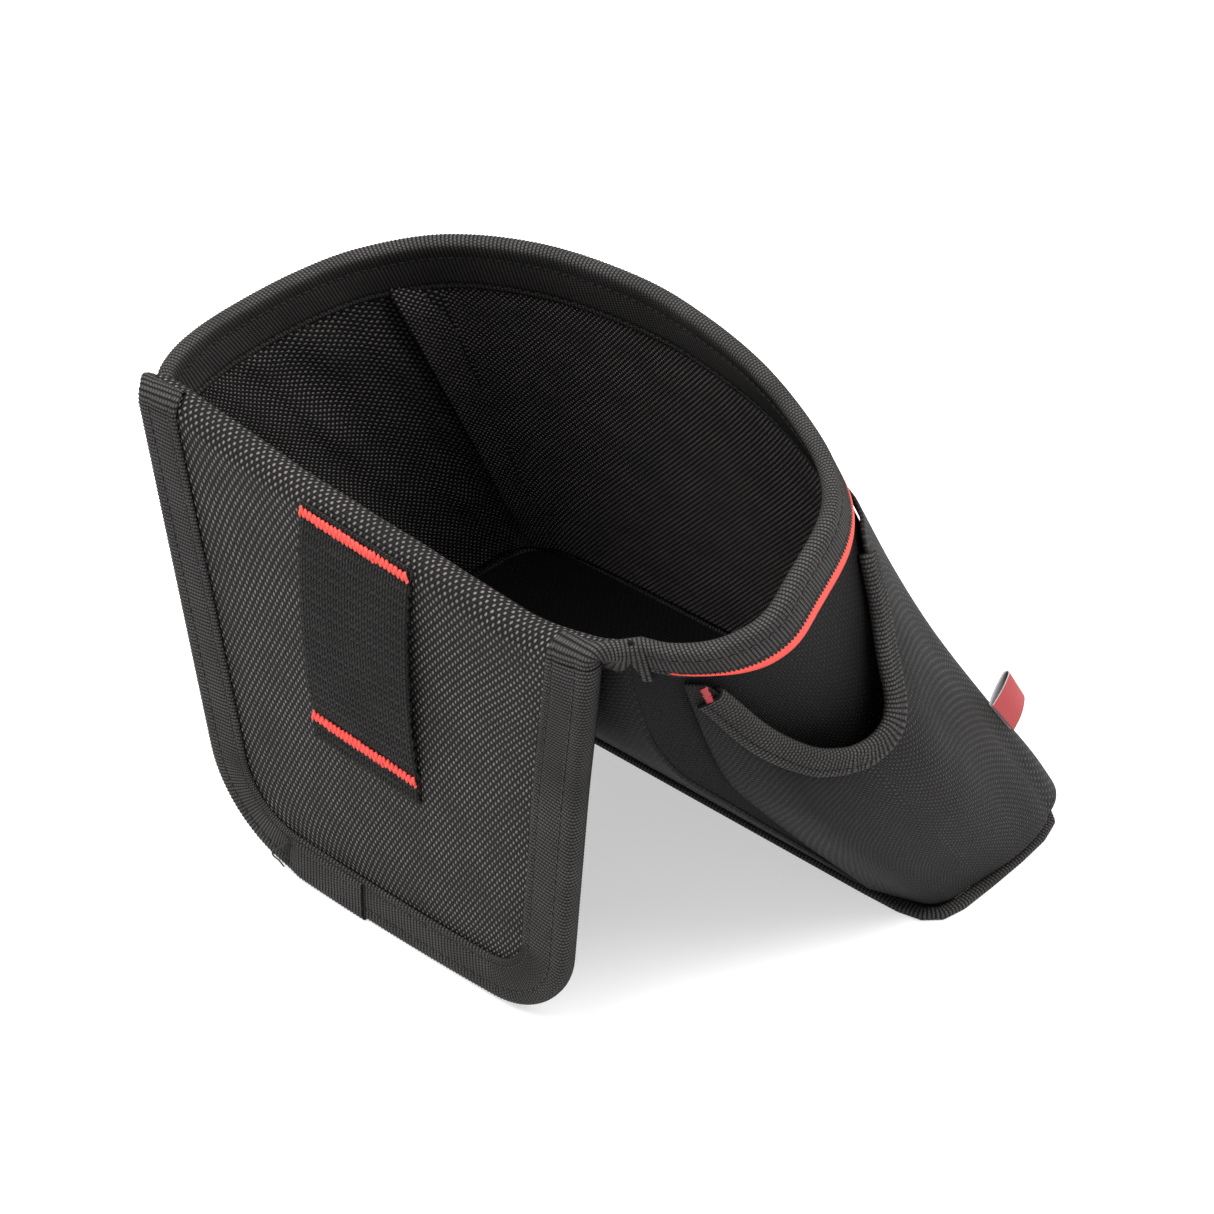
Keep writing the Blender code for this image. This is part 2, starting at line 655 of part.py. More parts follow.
def build_label(home):
    """The folded tag sewn into the pocket's front corner."""
    low = pocket(0.88, 0.80) + pocket_normal(0.88, 0.80) * (CLOTH + 0.5)
    high = pocket(0.88, 0.68) + pocket_normal(0.88, 0.68) * (CLOTH + 0.5)
    out = pocket_normal(0.88, 0.74)
    seam = (high - low) / np.linalg.norm(high - low)
    out = out - seam * (out @ seam)
    out = out / np.linalg.norm(out)
    side = np.cross(out, seam)
    middle = (low + high) / 2
    axis = axis_empty("label_axis", middle, home)
    bm = bmesh.new()
    bmesh.ops.create_cube(bm, size=1.0)
    turn = Matrix((seam, out, side)).transposed().to_4x4()
    bmesh.ops.scale(bm, verts=bm.verts, vec=(14.0 * MM, 11.0 * MM, 1.0 * MM))
    bmesh.ops.translate(bm, verts=bm.verts, vec=(0.0, 5.5 * MM, 0.0))
    bmesh.ops.bevel(bm, geom=bm.edges[:], offset=0.2 * MM, segments=2, affect="EDGES",
                    profile=0.5, material=-1)
    bmesh.ops.transform(bm, matrix=Matrix.Translation(axis.location) @ turn, verts=bm.verts)
    finish("label_tag", bm, LABEL, home, axis)


# ---------------------------------------------------------------- assembly
def main():
    clear_scene()
    home = collection("electrician_tool_pouch")
    build_flap(home)
    build_fold(home)
    build_back(home)
    build_walls(home)
    build_bottom(home)
    build_rim(home)
    build_pocket(home)
    build_pocket_binding(home)
    build_pocket_tack(home)
    build_label(home)


main()
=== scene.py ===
"""Electrician's slip-over tool pouch, sewn from ballistic nylon and grosgrain tape.

The stiff flap and the pouch hang from one fabric fold. Every sewn piece is bent from a
grid: the cloth first, then the tapes folded over its edges, then the stitching.
Lengths are typed in millimetres in the fold frame, X along the fold, Y from the flap
towards the pouch and Z up from the floor.
"""

import math

import bmesh
import bpy
import numpy as np
from mathutils import Matrix, Vector


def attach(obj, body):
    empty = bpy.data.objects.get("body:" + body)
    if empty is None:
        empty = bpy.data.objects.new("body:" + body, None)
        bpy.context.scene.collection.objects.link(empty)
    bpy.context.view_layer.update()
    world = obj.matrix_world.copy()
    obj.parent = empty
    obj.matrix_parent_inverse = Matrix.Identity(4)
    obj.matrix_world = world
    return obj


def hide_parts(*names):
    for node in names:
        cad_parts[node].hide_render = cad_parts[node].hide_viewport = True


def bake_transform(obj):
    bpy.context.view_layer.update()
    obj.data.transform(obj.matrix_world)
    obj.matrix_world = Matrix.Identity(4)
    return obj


bl_info = {
    "name": "Electrician tool pouch",
    "version": (1, 0, 0),
    "blender": (4, 5, 0),
    "location": "3D View > Sidebar > Tool pouch",
    "description": "Sews a slip-over tool pouch piece by piece",
    "category": "Object",
}

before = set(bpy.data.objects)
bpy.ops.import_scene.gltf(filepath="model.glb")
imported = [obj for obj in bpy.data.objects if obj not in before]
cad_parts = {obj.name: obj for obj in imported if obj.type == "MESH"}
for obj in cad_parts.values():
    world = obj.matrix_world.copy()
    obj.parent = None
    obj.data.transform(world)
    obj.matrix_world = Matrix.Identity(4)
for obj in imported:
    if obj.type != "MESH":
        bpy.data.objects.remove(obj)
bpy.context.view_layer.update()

# ---------------------------------------------------------------- dimensions, mm
MM = 0.001
CENTRE = np.array([8.17, 74.54, 0.0])
FOLD_Y = -2.0
FOLD_Z = 137.4
FOLD_RADIUS = 5.1
CLOTH = 1.0
LINING = 0.8
BOARD = 1.4
TAPE = 0.9
GAP = 0.3
FLAP_FAR_SIDE = (62.3, 0.160, 35.0)      # half width at the floor, slope, corner radius
FLAP_NEAR_SIDE = (61.2, 0.086, 27.0)
FLAP_FACE_Y = -7.1
FLAP_BINDING = 13.0
FLAP_DEPTH = 3.8
FLAP_INSET = GAP + TAPE + 0.1
WEB_WIDTH = 38.0
WEB_X = -5.0
WEB_THICK = 1.4
WEB_TOP = 132.7
WEB_BOTTOM = 56.0
TACK_TOP = 129.8
TACK_BOTTOM = 63.6
WEB_TILT = -0.08
WEB_BOW = 2.2
RIM_BINDING = 12.0
RIM_INNER = 19.0
RIM_DEPTH = CLOTH + 0.4 + LINING
RIM_START = 0.35
PIPING = 3.0
POCKET_BINDING = 6.0
BOTTOM_Z = 2.5
HEM = 0.985                              # how far down the walls the hidden layers reach
SEAM_HALF = 0.012                        # half of a side seam's gap, in rim stations
SEAM_MERGE = 0.01
THREAD_SIDES = 6

# The camera looks at the target, then slides right and up without turning.
CAMERA_TARGET = np.array([0.0, 60.0, 60.0])
CAMERA_AZIMUTH = 41.201
CAMERA_ELEVATION = 37.363
CAMERA_DISTANCE = 984.65
CAMERA_SLIDE = (14.2965, 10.2075)
CAMERA_SENSOR = 36.0
CAMERA_LENS = 107.3267

# The rim and the bottom of the soft walls, near back corner to far back corner.
RIM = (
    (78.5, -0.5, 136.6), (85.4, 7.5, 132.2), (91.4, 19.5, 130.0), (94.5, 33.0, 131.5),
    (92.6, 46.0, 136.0), (87.0, 65.6, 141.0), (76.2, 80.0, 142.0), (59.0, 92.5, 142.0),
    (32.0, 106.0, 142.0), (5.0, 114.0, 142.0), (-20.0, 117.0, 142.0), (-50.0, 112.5, 142.0),
    (-73.5, 99.0, 142.0), (-87.0, 79.0, 141.5), (-91.8, 58.0, 141.5), (-92.6, 34.0, 141.5),
    (-91.2, 17.0, 141.2), (-88.2, 6.0, 140.2), (-83.8, -0.5, 138.6),
)
BOTTOM = tuple((x, y, BOTTOM_Z) for x, y in (
    (89.0, 90.0), (90.0, 100.0), (91.0, 110.0), (91.5, 120.0), (92.0, 130.0), (91.5, 140.5),
    (87.5, 149.0), (69.0, 152.5), (40.0, 153.5), (10.0, 154.0), (-15.0, 154.0),
    (-50.0, 153.5), (-75.0, 152.5), (-88.0, 148.0), (-91.5, 139.0), (-92.0, 126.0),
    (-91.0, 113.0), (-90.0, 101.0), (-89.0, 90.0),
))
LAST = len(RIM) - 1
FRONT_NEAR = 6.7
FRONT_FAR = 12.3
BACK_PROFILE = ((-0.5, 137.0), (0.6, 121.0), (4.5, 105.5), (13.5, 88.8), (31.0, 68.8),
                (57.0, 39.58), (90.0, BOTTOM_Z))
BOTTOM_OUTLINE = (
    (-86.0, 90.8), (-58.0, 90.6), (-29.0, 90.6), (0.0, 90.6), (29.0, 90.6), (58.0, 90.6),
    (86.0, 90.6), (98.0, 90.9), (104.6, 92.4), (108.6, 96.2), (110.2, 103.0),
    (110.6, 116.0), (110.6, 129.0), (110.0, 140.0), (108.0, 147.5), (102.5, 152.0),
    (94.0, 154.2), (80.0, 155.0), (53.0, 155.1), (26.0, 155.2), (0.0, 155.2),
    (-26.0, 155.2), (-53.0, 155.0), (-77.0, 154.2), (-85.0, 151.8), (-90.3, 146.0),
    (-92.8, 138.0), (-93.4, 126.0), (-93.4, 113.0), (-92.4, 100.0), (-90.2, 94.0),
)
POCKET_FAR_U = 6.45
POCKET_PUFF = ((0.10, 2.0), (0.20, 3.0), (0.30, 5.0), (0.38, 7.5), (0.55, 12.5),
               (0.75, 15.5), (1.0, 17.0))
CORNER_PUFF = ((0.10, 1.4), (0.30, 1.6), (0.45, 3.2), (0.70, 9.0), (0.90, 15.0), (1.0, 16.5))
POCKET_SECTION = ((0.0, 0.0), (0.05, 0.42), (0.11, 0.84), (0.18, 0.98), (0.30, 1.0),
                  (0.82, 1.0), (0.90, 0.92), (0.95, 0.62), (0.98, 0.25), (1.0, 0.0))
SCOOP = ((0.0, 0.105), (0.07, 0.108), (0.10, 0.155), (0.14, 0.26), (0.20, 0.345), (0.28, 0.385),
         (0.36, 0.395), (0.46, 0.38), (0.58, 0.32), (0.68, 0.23), (0.76, 0.14), (0.82, 0.108),
         (1.0, 0.108))
# How far the soft fold hangs below a straight one, along X.
SAG = ((-90.0, 0.0), (-78.0, 0.2), (-64.0, 2.0), (-30.0, 6.8), (6.5, 10.0), (29.0, 12.0),
       (49.0, 13.3), (62.0, 11.2), (71.0, 8.6), (78.5, 4.5))


# ---------------------------------------------------------------- curves and surfaces
def unit(vectors):
    return vectors / np.linalg.norm(vectors, axis=-1, keepdims=True)


def spline(points, t):
    """Catmull-Rom through the points, at each t counted in points."""
    points = np.array(points, float)
    ends = np.vstack((2 * points[:1] - points[1:2], points, 2 * points[-1:] - points[-2:-1]))
    t = np.clip(np.asarray(t, float), 0.0, len(points) - 1.0)
    start = np.minimum(t.astype(int), len(points) - 2)
    part = (t - start)[..., None]
    a, b, c, d = (ends[start + step] for step in range(4))
    return 0.5 * (2 * b + (c - a) * part + (2 * a - 5 * b + 4 * c - d) * part ** 2
                  + (3 * b - a - 3 * c + d) * part ** 3)


def ramp(x, stops):
    """Smooth steps between the (x, value) stops."""
    x = np.asarray(x, float)
    result = np.full(x.shape, float(stops[-1][1]))
    for (x0, y0), (x1, y1) in reversed(list(zip(stops, stops[1:]))):
        part = np.clip((x - x0) / (x1 - x0), 0.0, 1.0)
        part = part * part * (3 - 2 * part)
        result = np.where(x <= x1, y0 + (y1 - y0) * part, result)
    return result


def curve(x, stops):
    """One smooth line through the (x, value) stops."""
    xs, ys = np.array(stops, float).T
    slopes = np.gradient(ys, xs)
    x = np.clip(np.asarray(x, float), xs[0], xs[-1])
    i = np.clip(np.searchsorted(xs, x, side="right") - 1, 0, len(xs) - 2)
    step = xs[i + 1] - xs[i]
    t = (x - xs[i]) / step
    return ((1 + 2 * t) * (1 - t) ** 2 * ys[i] + t * (1 - t) ** 2 * step * slopes[i]
            + t * t * (3 - 2 * t) * ys[i + 1] - t * t * (1 - t) * step * slopes[i + 1])


def sagged(points):
    """Lets the cloth near the fold hang below its straight line."""
    points = np.array(points, float)
    share = ramp(points[..., 2], ((78.0, 0.0), (136.0, 1.0)))
    points[..., 2] -= curve(points[..., 0], SAG) * share
    return points


def lengths(points):
    """Running length along a line of points."""
    steps = np.linalg.norm(np.diff(points, axis=0), axis=1)
    return np.concatenate(([0.0], np.cumsum(steps)))


def back_point(v):
    return spline(BACK_PROFILE, np.asarray(v) * (len(BACK_PROFILE) - 1))


def wall(u, v):
    """The outside of the soft walls: u runs near corner to far corner, v rim to bottom."""
    u, v = np.broadcast_arrays(np.asarray(u, float), np.asarray(v, float))
    down = v[..., None]
    point = spline(RIM, u) * (1 - down) + spline(BOTTOM, u) * down
    edge = np.minimum(u, LAST - u)
    follow = np.clip(1 - edge / 3.0, 0.0, None) ** 2
    near = (u < LAST / 2)[..., None]
    straight = (np.where(near, RIM[0], RIM[-1]) * (1 - down)
                + np.where(near, BOTTOM[0], BOTTOM[-1]) * down)
    line = back_point(v)
    point[..., 1] += follow * (line[..., 0] - straight[..., 1])
    point[..., 2] += follow * (line[..., 1] - straight[..., 2])
    taut = 1 - 0.9 * np.exp(-((u - 5.8) / 1.5) ** 2)
    belly = 3.5 * np.sin(math.pi * np.clip(v, 0, 1)) * np.minimum(1.0, edge / 2.5) * taut
    across = spline(RIM, np.minimum(u + 0.05, LAST)) - spline(RIM, np.maximum(u - 0.05, 0.0))
    out = unit(np.stack((across[..., 1], -across[..., 0], np.zeros_like(u)), axis=-1))
    return point + belly[..., None] * out


def wall_normal(u, v):
    u, v = np.broadcast_arrays(np.asarray(u, float), np.asarray(v, float))
    du = wall(np.minimum(u + 0.04, LAST), v) - wall(np.maximum(u - 0.04, 0.0), v)
    dv = wall(u, np.minimum(v + 0.02, 1.0)) - wall(u, np.maximum(v - 0.02, 0.0))
    normal = unit(np.cross(dv, du))
    out = wall(u, v) - np.array([0.0, 80.0, 70.0])
    side = np.sign((normal * out).sum(axis=-1, keepdims=True))
    return normal * np.where(side == 0, 1.0, side)


U_TABLE = np.linspace(0.0, LAST, 361)
WALL_LENGTHS = np.linalg.norm(
    np.diff(np.stack([wall(U_TABLE, v) for v in np.linspace(0, 1, 9)]), axis=0), axis=-1
).sum(axis=0)


def wall_length(u):
    return np.interp(u, U_TABLE, WALL_LENGTHS)


def pocket_u(a, v):
    rear = 1.0 - 0.85 * v
    return rear + a * (POCKET_FAR_U - rear)


def pocket(a, v):
    """The inside face of the puffed pocket: a runs rear seam to front seam."""
    a, v = np.broadcast_arrays(np.asarray(a, float), np.asarray(v, float))
    u = pocket_u(a, v)
    normal = wall_normal(u, v)
    flat = unit(normal * np.array([1.0, 1.0, 0.0]))
    near_front = ramp(a, ((0.45, 0.0), (0.85, 1.0)))
    puff = curve(v, POCKET_PUFF) * (1 - near_front) + curve(v, CORNER_PUFF) * near_front
    puff = puff * np.maximum(curve(a, POCKET_SECTION), 0.0)
    return wall(u, v) + normal * 0.35 + flat * puff[..., None]


def pocket_normal(a, v):
    a, v = np.broadcast_arrays(np.asarray(a, float), np.asarray(v, float))
    da = pocket(np.minimum(a + 0.01, 1.0), v) - pocket(np.maximum(a - 0.01, 0.0), v)
    dv = pocket(a, np.minimum(v + 0.01, 1.0)) - pocket(a, np.maximum(v - 0.01, 0.0))
    normal = unit(np.cross(dv, da))
    side = np.sign((normal * wall_normal(pocket_u(a, v), v)).sum(axis=-1, keepdims=True))
    return normal * np.where(side == 0, 1.0, side)


def scoop(a):
    return np.maximum(curve(a, SCOOP), 0.105)


def flap_side(side):
    """(half width, z) of the flap's cloth, from its bottom edge up one side."""
    half, slope, corner = side
    lean = math.atan(slope)
    radius = corner - FLAP_INSET
    half = half - FLAP_INSET / math.cos(lean)
    centre_z = 1.2 + FLAP_INSET + radius
    centre_x = half + slope * centre_z - radius / math.cos(lean)
    angle = np.linspace(-math.pi / 2, -lean, 17)
    z = centre_z + radius * np.sin(angle)
    top = np.linspace(z[-1], FOLD_Z - 0.4, 12)[1:]
    widths = np.concatenate((centre_x + radius * np.cos(angle), half + slope * top))
    return widths, np.concatenate((z, top))


FAR_HALF, FAR_LEVEL = flap_side(FLAP_FAR_SIDE)
NEAR_HALF, NEAR_LEVEL = flap_side(FLAP_NEAR_SIDE)


def flap_edge():
    """(x, z) of the flap's cloth edge down the far side, along the bottom and up."""
    x = np.linspace(-FAR_HALF[0], NEAR_HALF[0], 23)[1:-1]
    share = x / np.where(x > 0, NEAR_HALF[0], FAR_HALF[0])
    bottom_z = NEAR_LEVEL[0] - 0.9 * (1 - share ** 2)
    xs = np.concatenate((-FAR_HALF[::-1], x, NEAR_HALF))
    zs = np.concatenate((FAR_LEVEL[::-1], bottom_z, NEAR_LEVEL))
    return np.stack((xs, zs), axis=1)


def wave(x, y, seed):
    """Soft ripples between -1 and 1, from a sum of sines."""
    total = np.sin(x + 1.7 * seed) * np.cos(0.8 * y + seed)
    total = total + 0.6 * np.sin(1.9 * x - 0.7 * y + 2.3 * seed)
    return (total + 0.4 * np.sin(0.6 * x + 2.4 * y + 0.9 * seed)) / 2.0


# ---------------------------------------------------------------- mesh helpers
def placed(points):
    return (points - CENTRE) * MM


def measured(shape, s, t):
    """Cloth coordinates in millimetres, from the shape's own middle lines."""
    line = np.linspace(0.0, 1.0, 240)
    half = np.full_like(line, 0.5)
    across = lengths(shape(line, half))
    along = lengths(shape(half, line))
    return np.stack((np.interp(s, line, across), np.interp(t, line, along)), axis=1)


def bent_grid(across, along, shape, cloth=None):
    """A flat grid bent to a shape, with its cloth coordinates as a UV map."""
    bm = bmesh.new()
    bmesh.ops.create_grid(bm, x_segments=across, y_segments=along, size=0.5)
    flat = np.array([vert.co for vert in bm.verts])
    s = np.clip(flat[:, 0] + 0.5, 0.0, 1.0)
    t = np.clip(flat[:, 1] + 0.5, 0.0, 1.0)
    points = placed(shape(s, t))
    threads = measured(shape, s, t) if cloth is None else cloth(s, t)
    layer = bm.loops.layers.uv.new("cloth")
    bm.verts.index_update()
    for face in bm.faces:
        for loop in face.loops:
            loop[layer].uv = threads[loop.vert.index]
    for vert, point in zip(bm.verts, points):
        vert.co = point
    return bm


def made_piece(name, bm, looks):
    mesh = bpy.data.meshes.new(name)
    bm.to_mesh(mesh)
    bm.free()
    mesh.shade_smooth()
    for look in looks if isinstance(looks, tuple) else (looks,):
        mesh.materials.append(bpy.data.materials[look])
    obj = bpy.data.objects.new(name, mesh)
    bpy.context.scene.collection.objects.link(obj)
    return obj


def cloth_piece(name, grid, shape, facing, thick, looks):
    """A bent sheet whose grid is its outside face, thickened away from it."""
    bm = bent_grid(grid[0], grid[1], shape)
    bm.normal_update()
    bm.faces.ensure_lookup_table()
    total = Vector((0.0, 0.0, 0.0))
    for face in bm.faces:
        total += face.normal * face.calc_area()
    if total.dot(Vector(facing)) < 0:
        bmesh.ops.reverse_faces(bm, faces=bm.faces)
    obj = made_piece(name, bm, looks)
    thicken = obj.modifiers.new("thickness", "SOLIDIFY")
    thicken.thickness = thick * MM
    thicken.offset = -1.0
    if isinstance(looks, tuple):
        thicken.material_offset = 1
    return obj


def closed(bm):
    """Closes a grid rolled into a tube: its seam is merged and any open end is filled."""
    bmesh.ops.remove_doubles(bm, verts=bm.verts, dist=SEAM_MERGE * MM)
    rim = [edge for edge in bm.edges if edge.is_boundary]
    if rim:
        bmesh.ops.holes_fill(bm, edges=rim, sides=0)
    bmesh.ops.recalc_face_normals(bm, faces=bm.faces)
    return bm


def tape_leg(leg):
    """One leg of a folded tape: (into the cloth, off its face, outside)."""
    top = GAP + TAPE
    return [
        (leg + 0.25, 0.2, 0.0), (leg + 0.1, top * 0.7, 0.6), (leg - 0.6, top, 1.0),
        (leg - 1.6, top, 1.0), (leg - 2.2, top - 0.28, 0.4), (leg - 2.8, top, 1.0),
        (leg * 0.64, top + 0.05, 1.0), (leg * 0.5, top + 0.05, 1.0),
        (leg * 0.36, top + 0.02, 1.0), (leg * 0.26, top - 0.16, 0.6),
        (leg * 0.17, top + 0.08, 1.0), (0.6, top + 0.05, 1.0), (-0.55, top * 0.72, 1.0),
    ]


def tape_ring(legs, depth):
    """Section of a tape folded over an edge, its front leg and then its back one."""
    first, leg = legs if isinstance(legs, tuple) else (legs, legs)
    front = tape_leg(first)
    tip = [(-1.2, -0.1 * depth, 1.0), (-1.35, -0.5 * depth, 1.0), (-1.2, -0.9 * depth, 1.0)]
    back = [(d, -depth - h, w) for d, h, w in reversed(tape_leg(leg))]
    inside = [(leg * 0.5, -depth - 0.12, 0.0), (0.15, -depth, 0.0), (-0.2, -depth * 0.5, 0.0),
              (0.15, 0.0, 0.0), (first * 0.5, 0.12, 0.0)]
    ring = front + tip + back + inside
    return np.array(ring + ring[:1])


def tape_piece(name, length, place_on, leg, depth, lift=0.0):
    """A ribbed tape folded over a cloth edge. place_on(s, d) gives points on the cloth's
    outer face, their normals and the way out over the edge."""
    settings = bpy.context.scene.pouch
    pitch = settings.rib_pitch
    first_depth, last_depth = depth if isinstance(depth, tuple) else (depth, depth)
    ring = tape_ring(leg, first_depth)
    count = (len(ring) - 1) * 3 // 2
    ribs = max(4, round(length / pitch))

    def section(t):
        at = spline(ring, t * (len(ring) - 1))
        ahead = spline(ring, t * (len(ring) - 1) + 0.2)
        behind = spline(ring, t * (len(ring) - 1) - 0.2)
        run = ahead[:, :2] - behind[:, :2]
        run = run / np.maximum(np.linalg.norm(run, axis=1, keepdims=True), 1e-6)
        return at, np.stack((run[:, 1], -run[:, 0]), axis=1)

    def shape(s, t):
        at, out = section(t)
        rib = np.abs(np.sin(math.pi * s * ribs)) ** 0.7 - 0.5
        raised = at[:, 2] * (settings.rib_height * rib + lift)
        d = at[:, 0] - out[:, 0] * raised
        h = at[:, 1] - out[:, 1] * raised
        h = h + (first_depth - last_depth) * s * np.clip(-h / first_depth, 0.0, 1.0)
        points, normals, away = place_on(s, np.maximum(d, 0.0))
        return points + normals * h[:, None] + away * np.maximum(-d, 0.0)[:, None]

    def cloth(s, t):
        line = np.linspace(0.0, 1.0, 240)
        run = lengths(section(line)[0][:, :2])
        return np.stack((s * ribs * pitch, np.interp(t, line, run)), axis=1)

    bm = bent_grid(count, ribs * settings.rib_steps, lambda s, t: shape(t, s),
                   lambda s, t: cloth(t, s))
    return made_piece(name, closed(bm), "grosgrain_tape")


def thread_bmesh(points, normal, radius):
    """A round thread along a line of points."""
    points = np.array(points, float)
    run = lengths(points)

    def shape(s, t):
        at = np.stack([np.interp(t, run / run[-1], points[:, k]) for k in range(3)], axis=1)
        near = [np.interp(np.clip(t + step, 0, 1), run / run[-1], points[:, k])
                for step in (0.5 / len(points), -0.5 / len(points)) for k in range(3)]
        along = unit(np.stack(near[:3], axis=1) - np.stack(near[3:], axis=1))
        side = unit(np.cross(along, np.broadcast_to(normal, along.shape)))
        up = np.cross(side, along)
        angle = 2 * math.pi * s[:, None]
        return at + radius * (np.cos(angle) * up + np.sin(angle) * side)

    def cloth(s, t):
        return np.stack((t * run[-1], s * 2 * math.pi * radius), axis=1)

    return closed(bent_grid(THREAD_SIDES, len(points) * 2, shape, cloth))


def zigzag(start, end, across, normal, period, height):
    """Points of a satin zigzag between two ends."""
    start, end = np.array(start, float), np.array(end, float)
    across = np.array(across, float)
    count = max(2, round(np.linalg.norm(end - start) / period)) * 2
    points = []
    for i in range(count + 1):
        side = 1 if i % 2 else -1
        middle = start + (end - start) * i / count
        lean = 0.06 * math.sin(i * 1.7)
        for lift, share in ((0.0, 1.0), (0.28, 0.45)) if side > 0 else ((0.0, 1.0), (0.28, 0.5)):
            reach = side * (height / 2) * share * (1 + lean)
            step = (end - start) / count * (0.0 if share == 1.0 else 0.35)
            points.append(middle + across * reach + step + np.array(normal) * lift)
    return points


# ---------------------------------------------------------------- materials
def math_node(tree, operation, *values):
    node = tree.nodes.new("ShaderNodeMath")
    node.operation = operation
    for socket, value in zip(node.inputs, values):
        if isinstance(value, bpy.types.NodeSocket):
            tree.links.new(value, socket)
        else:
            socket.default_value = value
    return node.outputs[0]


def span(tree, value, low, high, first, last):
    node = tree.nodes.new("ShaderNodeMapRange")
    node.interpolation_type = "SMOOTHSTEP"
    tree.links.new(value, node.inputs["Value"])
    for name, number in (("From Min", low), ("From Max", high), ("To Min", first),
                         ("To Max", last)):
        node.inputs[name].default_value = number
    return node.outputs["Result"]


def noise(tree, vector, scale, detail=2.0, stretch=(1.0, 1.0, 1.0)):
    turn = tree.nodes.new("ShaderNodeMapping")
    turn.inputs["Scale"].default_value = stretch
    tree.links.new(vector, turn.inputs["Vector"])
    node = tree.nodes.new("ShaderNodeTexNoise")
    node.inputs["Scale"].default_value = scale
    node.inputs["Detail"].default_value = detail
    tree.links.new(turn.outputs["Vector"], node.inputs["Vector"])
    return node.outputs["Fac"]


def new_group(name, inputs, outputs):
    tree = bpy.data.node_groups.new(name, "ShaderNodeTree")
    for label, kind, value in inputs:
        socket = tree.interface.new_socket(label, in_out="INPUT", socket_type=kind)
        if value is not None:
            socket.default_value = value
    for label in outputs:
        tree.interface.new_socket(label, in_out="OUTPUT", socket_type="NodeSocketFloat")
    start = tree.nodes.new("NodeGroupInput")
    end = tree.nodes.new("NodeGroupOutput")
    parts = tree.nodes.new("ShaderNodeSeparateXYZ")
    tree.links.new(start.outputs["Vector"], parts.inputs[0])
    return tree, start, end, parts.outputs["X"], parts.outputs["Y"]


def plain_weave_group():
    """Over and under yarns of a plain weave: Height, the Float mask that places the painted
    highlight, and a yarn Tone.
    """
    tree, start, end, x, y = new_group(
        "plain_weave",
        (("Vector", "NodeSocketVector", None), ("Pitch Across", "NodeSocketFloat", 1.0),
         ("Pitch Along", "NodeSocketFloat", 1.4)),
        ("Height", "Float", "Tone"))
    drift = noise(tree, start.outputs["Vector"], 0.35)
    x = math_node(tree, "ADD", x, math_node(tree, "MULTIPLY", drift, 0.9))
    y = math_node(tree, "ADD", y, math_node(tree, "MULTIPLY", drift, 0.7))
    turns = []
    for value, pitch in ((x, "Pitch Across"), (y, "Pitch Along")):
        share = math_node(tree, "DIVIDE", value, start.outputs[pitch])
        turns.append(math_node(tree, "SINE", math_node(tree, "MULTIPLY", share, math.pi)))
    product = math_node(tree, "MULTIPLY", turns[0], turns[1])
    rounded = math_node(tree, "POWER", math_node(tree, "ABSOLUTE", product), 0.6)
    over = span(tree, product, -0.12, 0.12, 0.55, 1.0)
    fibre = noise(tree, start.outputs["Vector"], 4.0, 3.0, (1.0, 0.35, 1.0))
    height = math_node(tree, "MULTIPLY", rounded, over)
    height = math_node(tree, "ADD", height, math_node(tree, "MULTIPLY", fibre, 0.18))
    tree.links.new(height, end.inputs["Height"])
    tree.links.new(span(tree, product, 0.18, 0.85, 0.0, 1.0), end.inputs["Float"])
    slow = noise(tree, start.outputs["Vector"], 0.08)
    tone = math_node(tree, "ADD", math_node(tree, "MULTIPLY", fibre, 0.5),
                     math_node(tree, "MULTIPLY", slow, 0.5))
    tree.links.new(tone, end.inputs["Tone"])


def ribbed_tape_group():
    """Ribs across a tape, crossed by fine yarns: Height, Float and Tone."""
    tree, start, end, x, y = new_group(
        "ribbed_tape",
        (("Vector", "NodeSocketVector", None), ("Pitch Across", "NodeSocketFloat", 1.15),
         ("Pitch Along", "NodeSocketFloat", 0.9)),
        ("Height", "Float", "Tone"))
    share = math_node(tree, "DIVIDE", x, start.outputs["Pitch Across"])
    rib = math_node(tree, "SINE", math_node(tree, "MULTIPLY", share, math.pi))
    rib = math_node(tree, "POWER", math_node(tree, "ABSOLUTE", rib), 0.6)
    row = math_node(tree, "MULTIPLY", math_node(tree, "FLOOR", share), 0.5)
    cross = math_node(tree, "DIVIDE", y, start.outputs["Pitch Along"])
    cross = math_node(tree, "MULTIPLY", math_node(tree, "ADD", cross, row), math.pi)
    cross = math_node(tree, "ABSOLUTE", math_node(tree, "SINE", cross))
    cross = math_node(tree, "POWER", cross, 0.5)
    fibre = noise(tree, start.outputs["Vector"], 3.0, 3.0, (1.0, 0.6, 1.0))
    height = math_node(tree, "MULTIPLY", rib, span(tree, cross, 0.0, 1.0, 0.45, 1.0))
    tree.links.new(span(tree, height, 0.45, 1.0, 0.0, 1.0), end.inputs["Float"])
    height = math_node(tree, "ADD", height, math_node(tree, "MULTIPLY", fibre, 0.3))
    tree.links.new(height, end.inputs["Height"])
    slow = noise(tree, start.outputs["Vector"], 0.06)
    tone = math_node(tree, "ADD", math_node(tree, "MULTIPLY", fibre, 0.55),
                     math_node(tree, "MULTIPLY", slow, 0.45))
    tree.links.new(tone, end.inputs["Tone"])


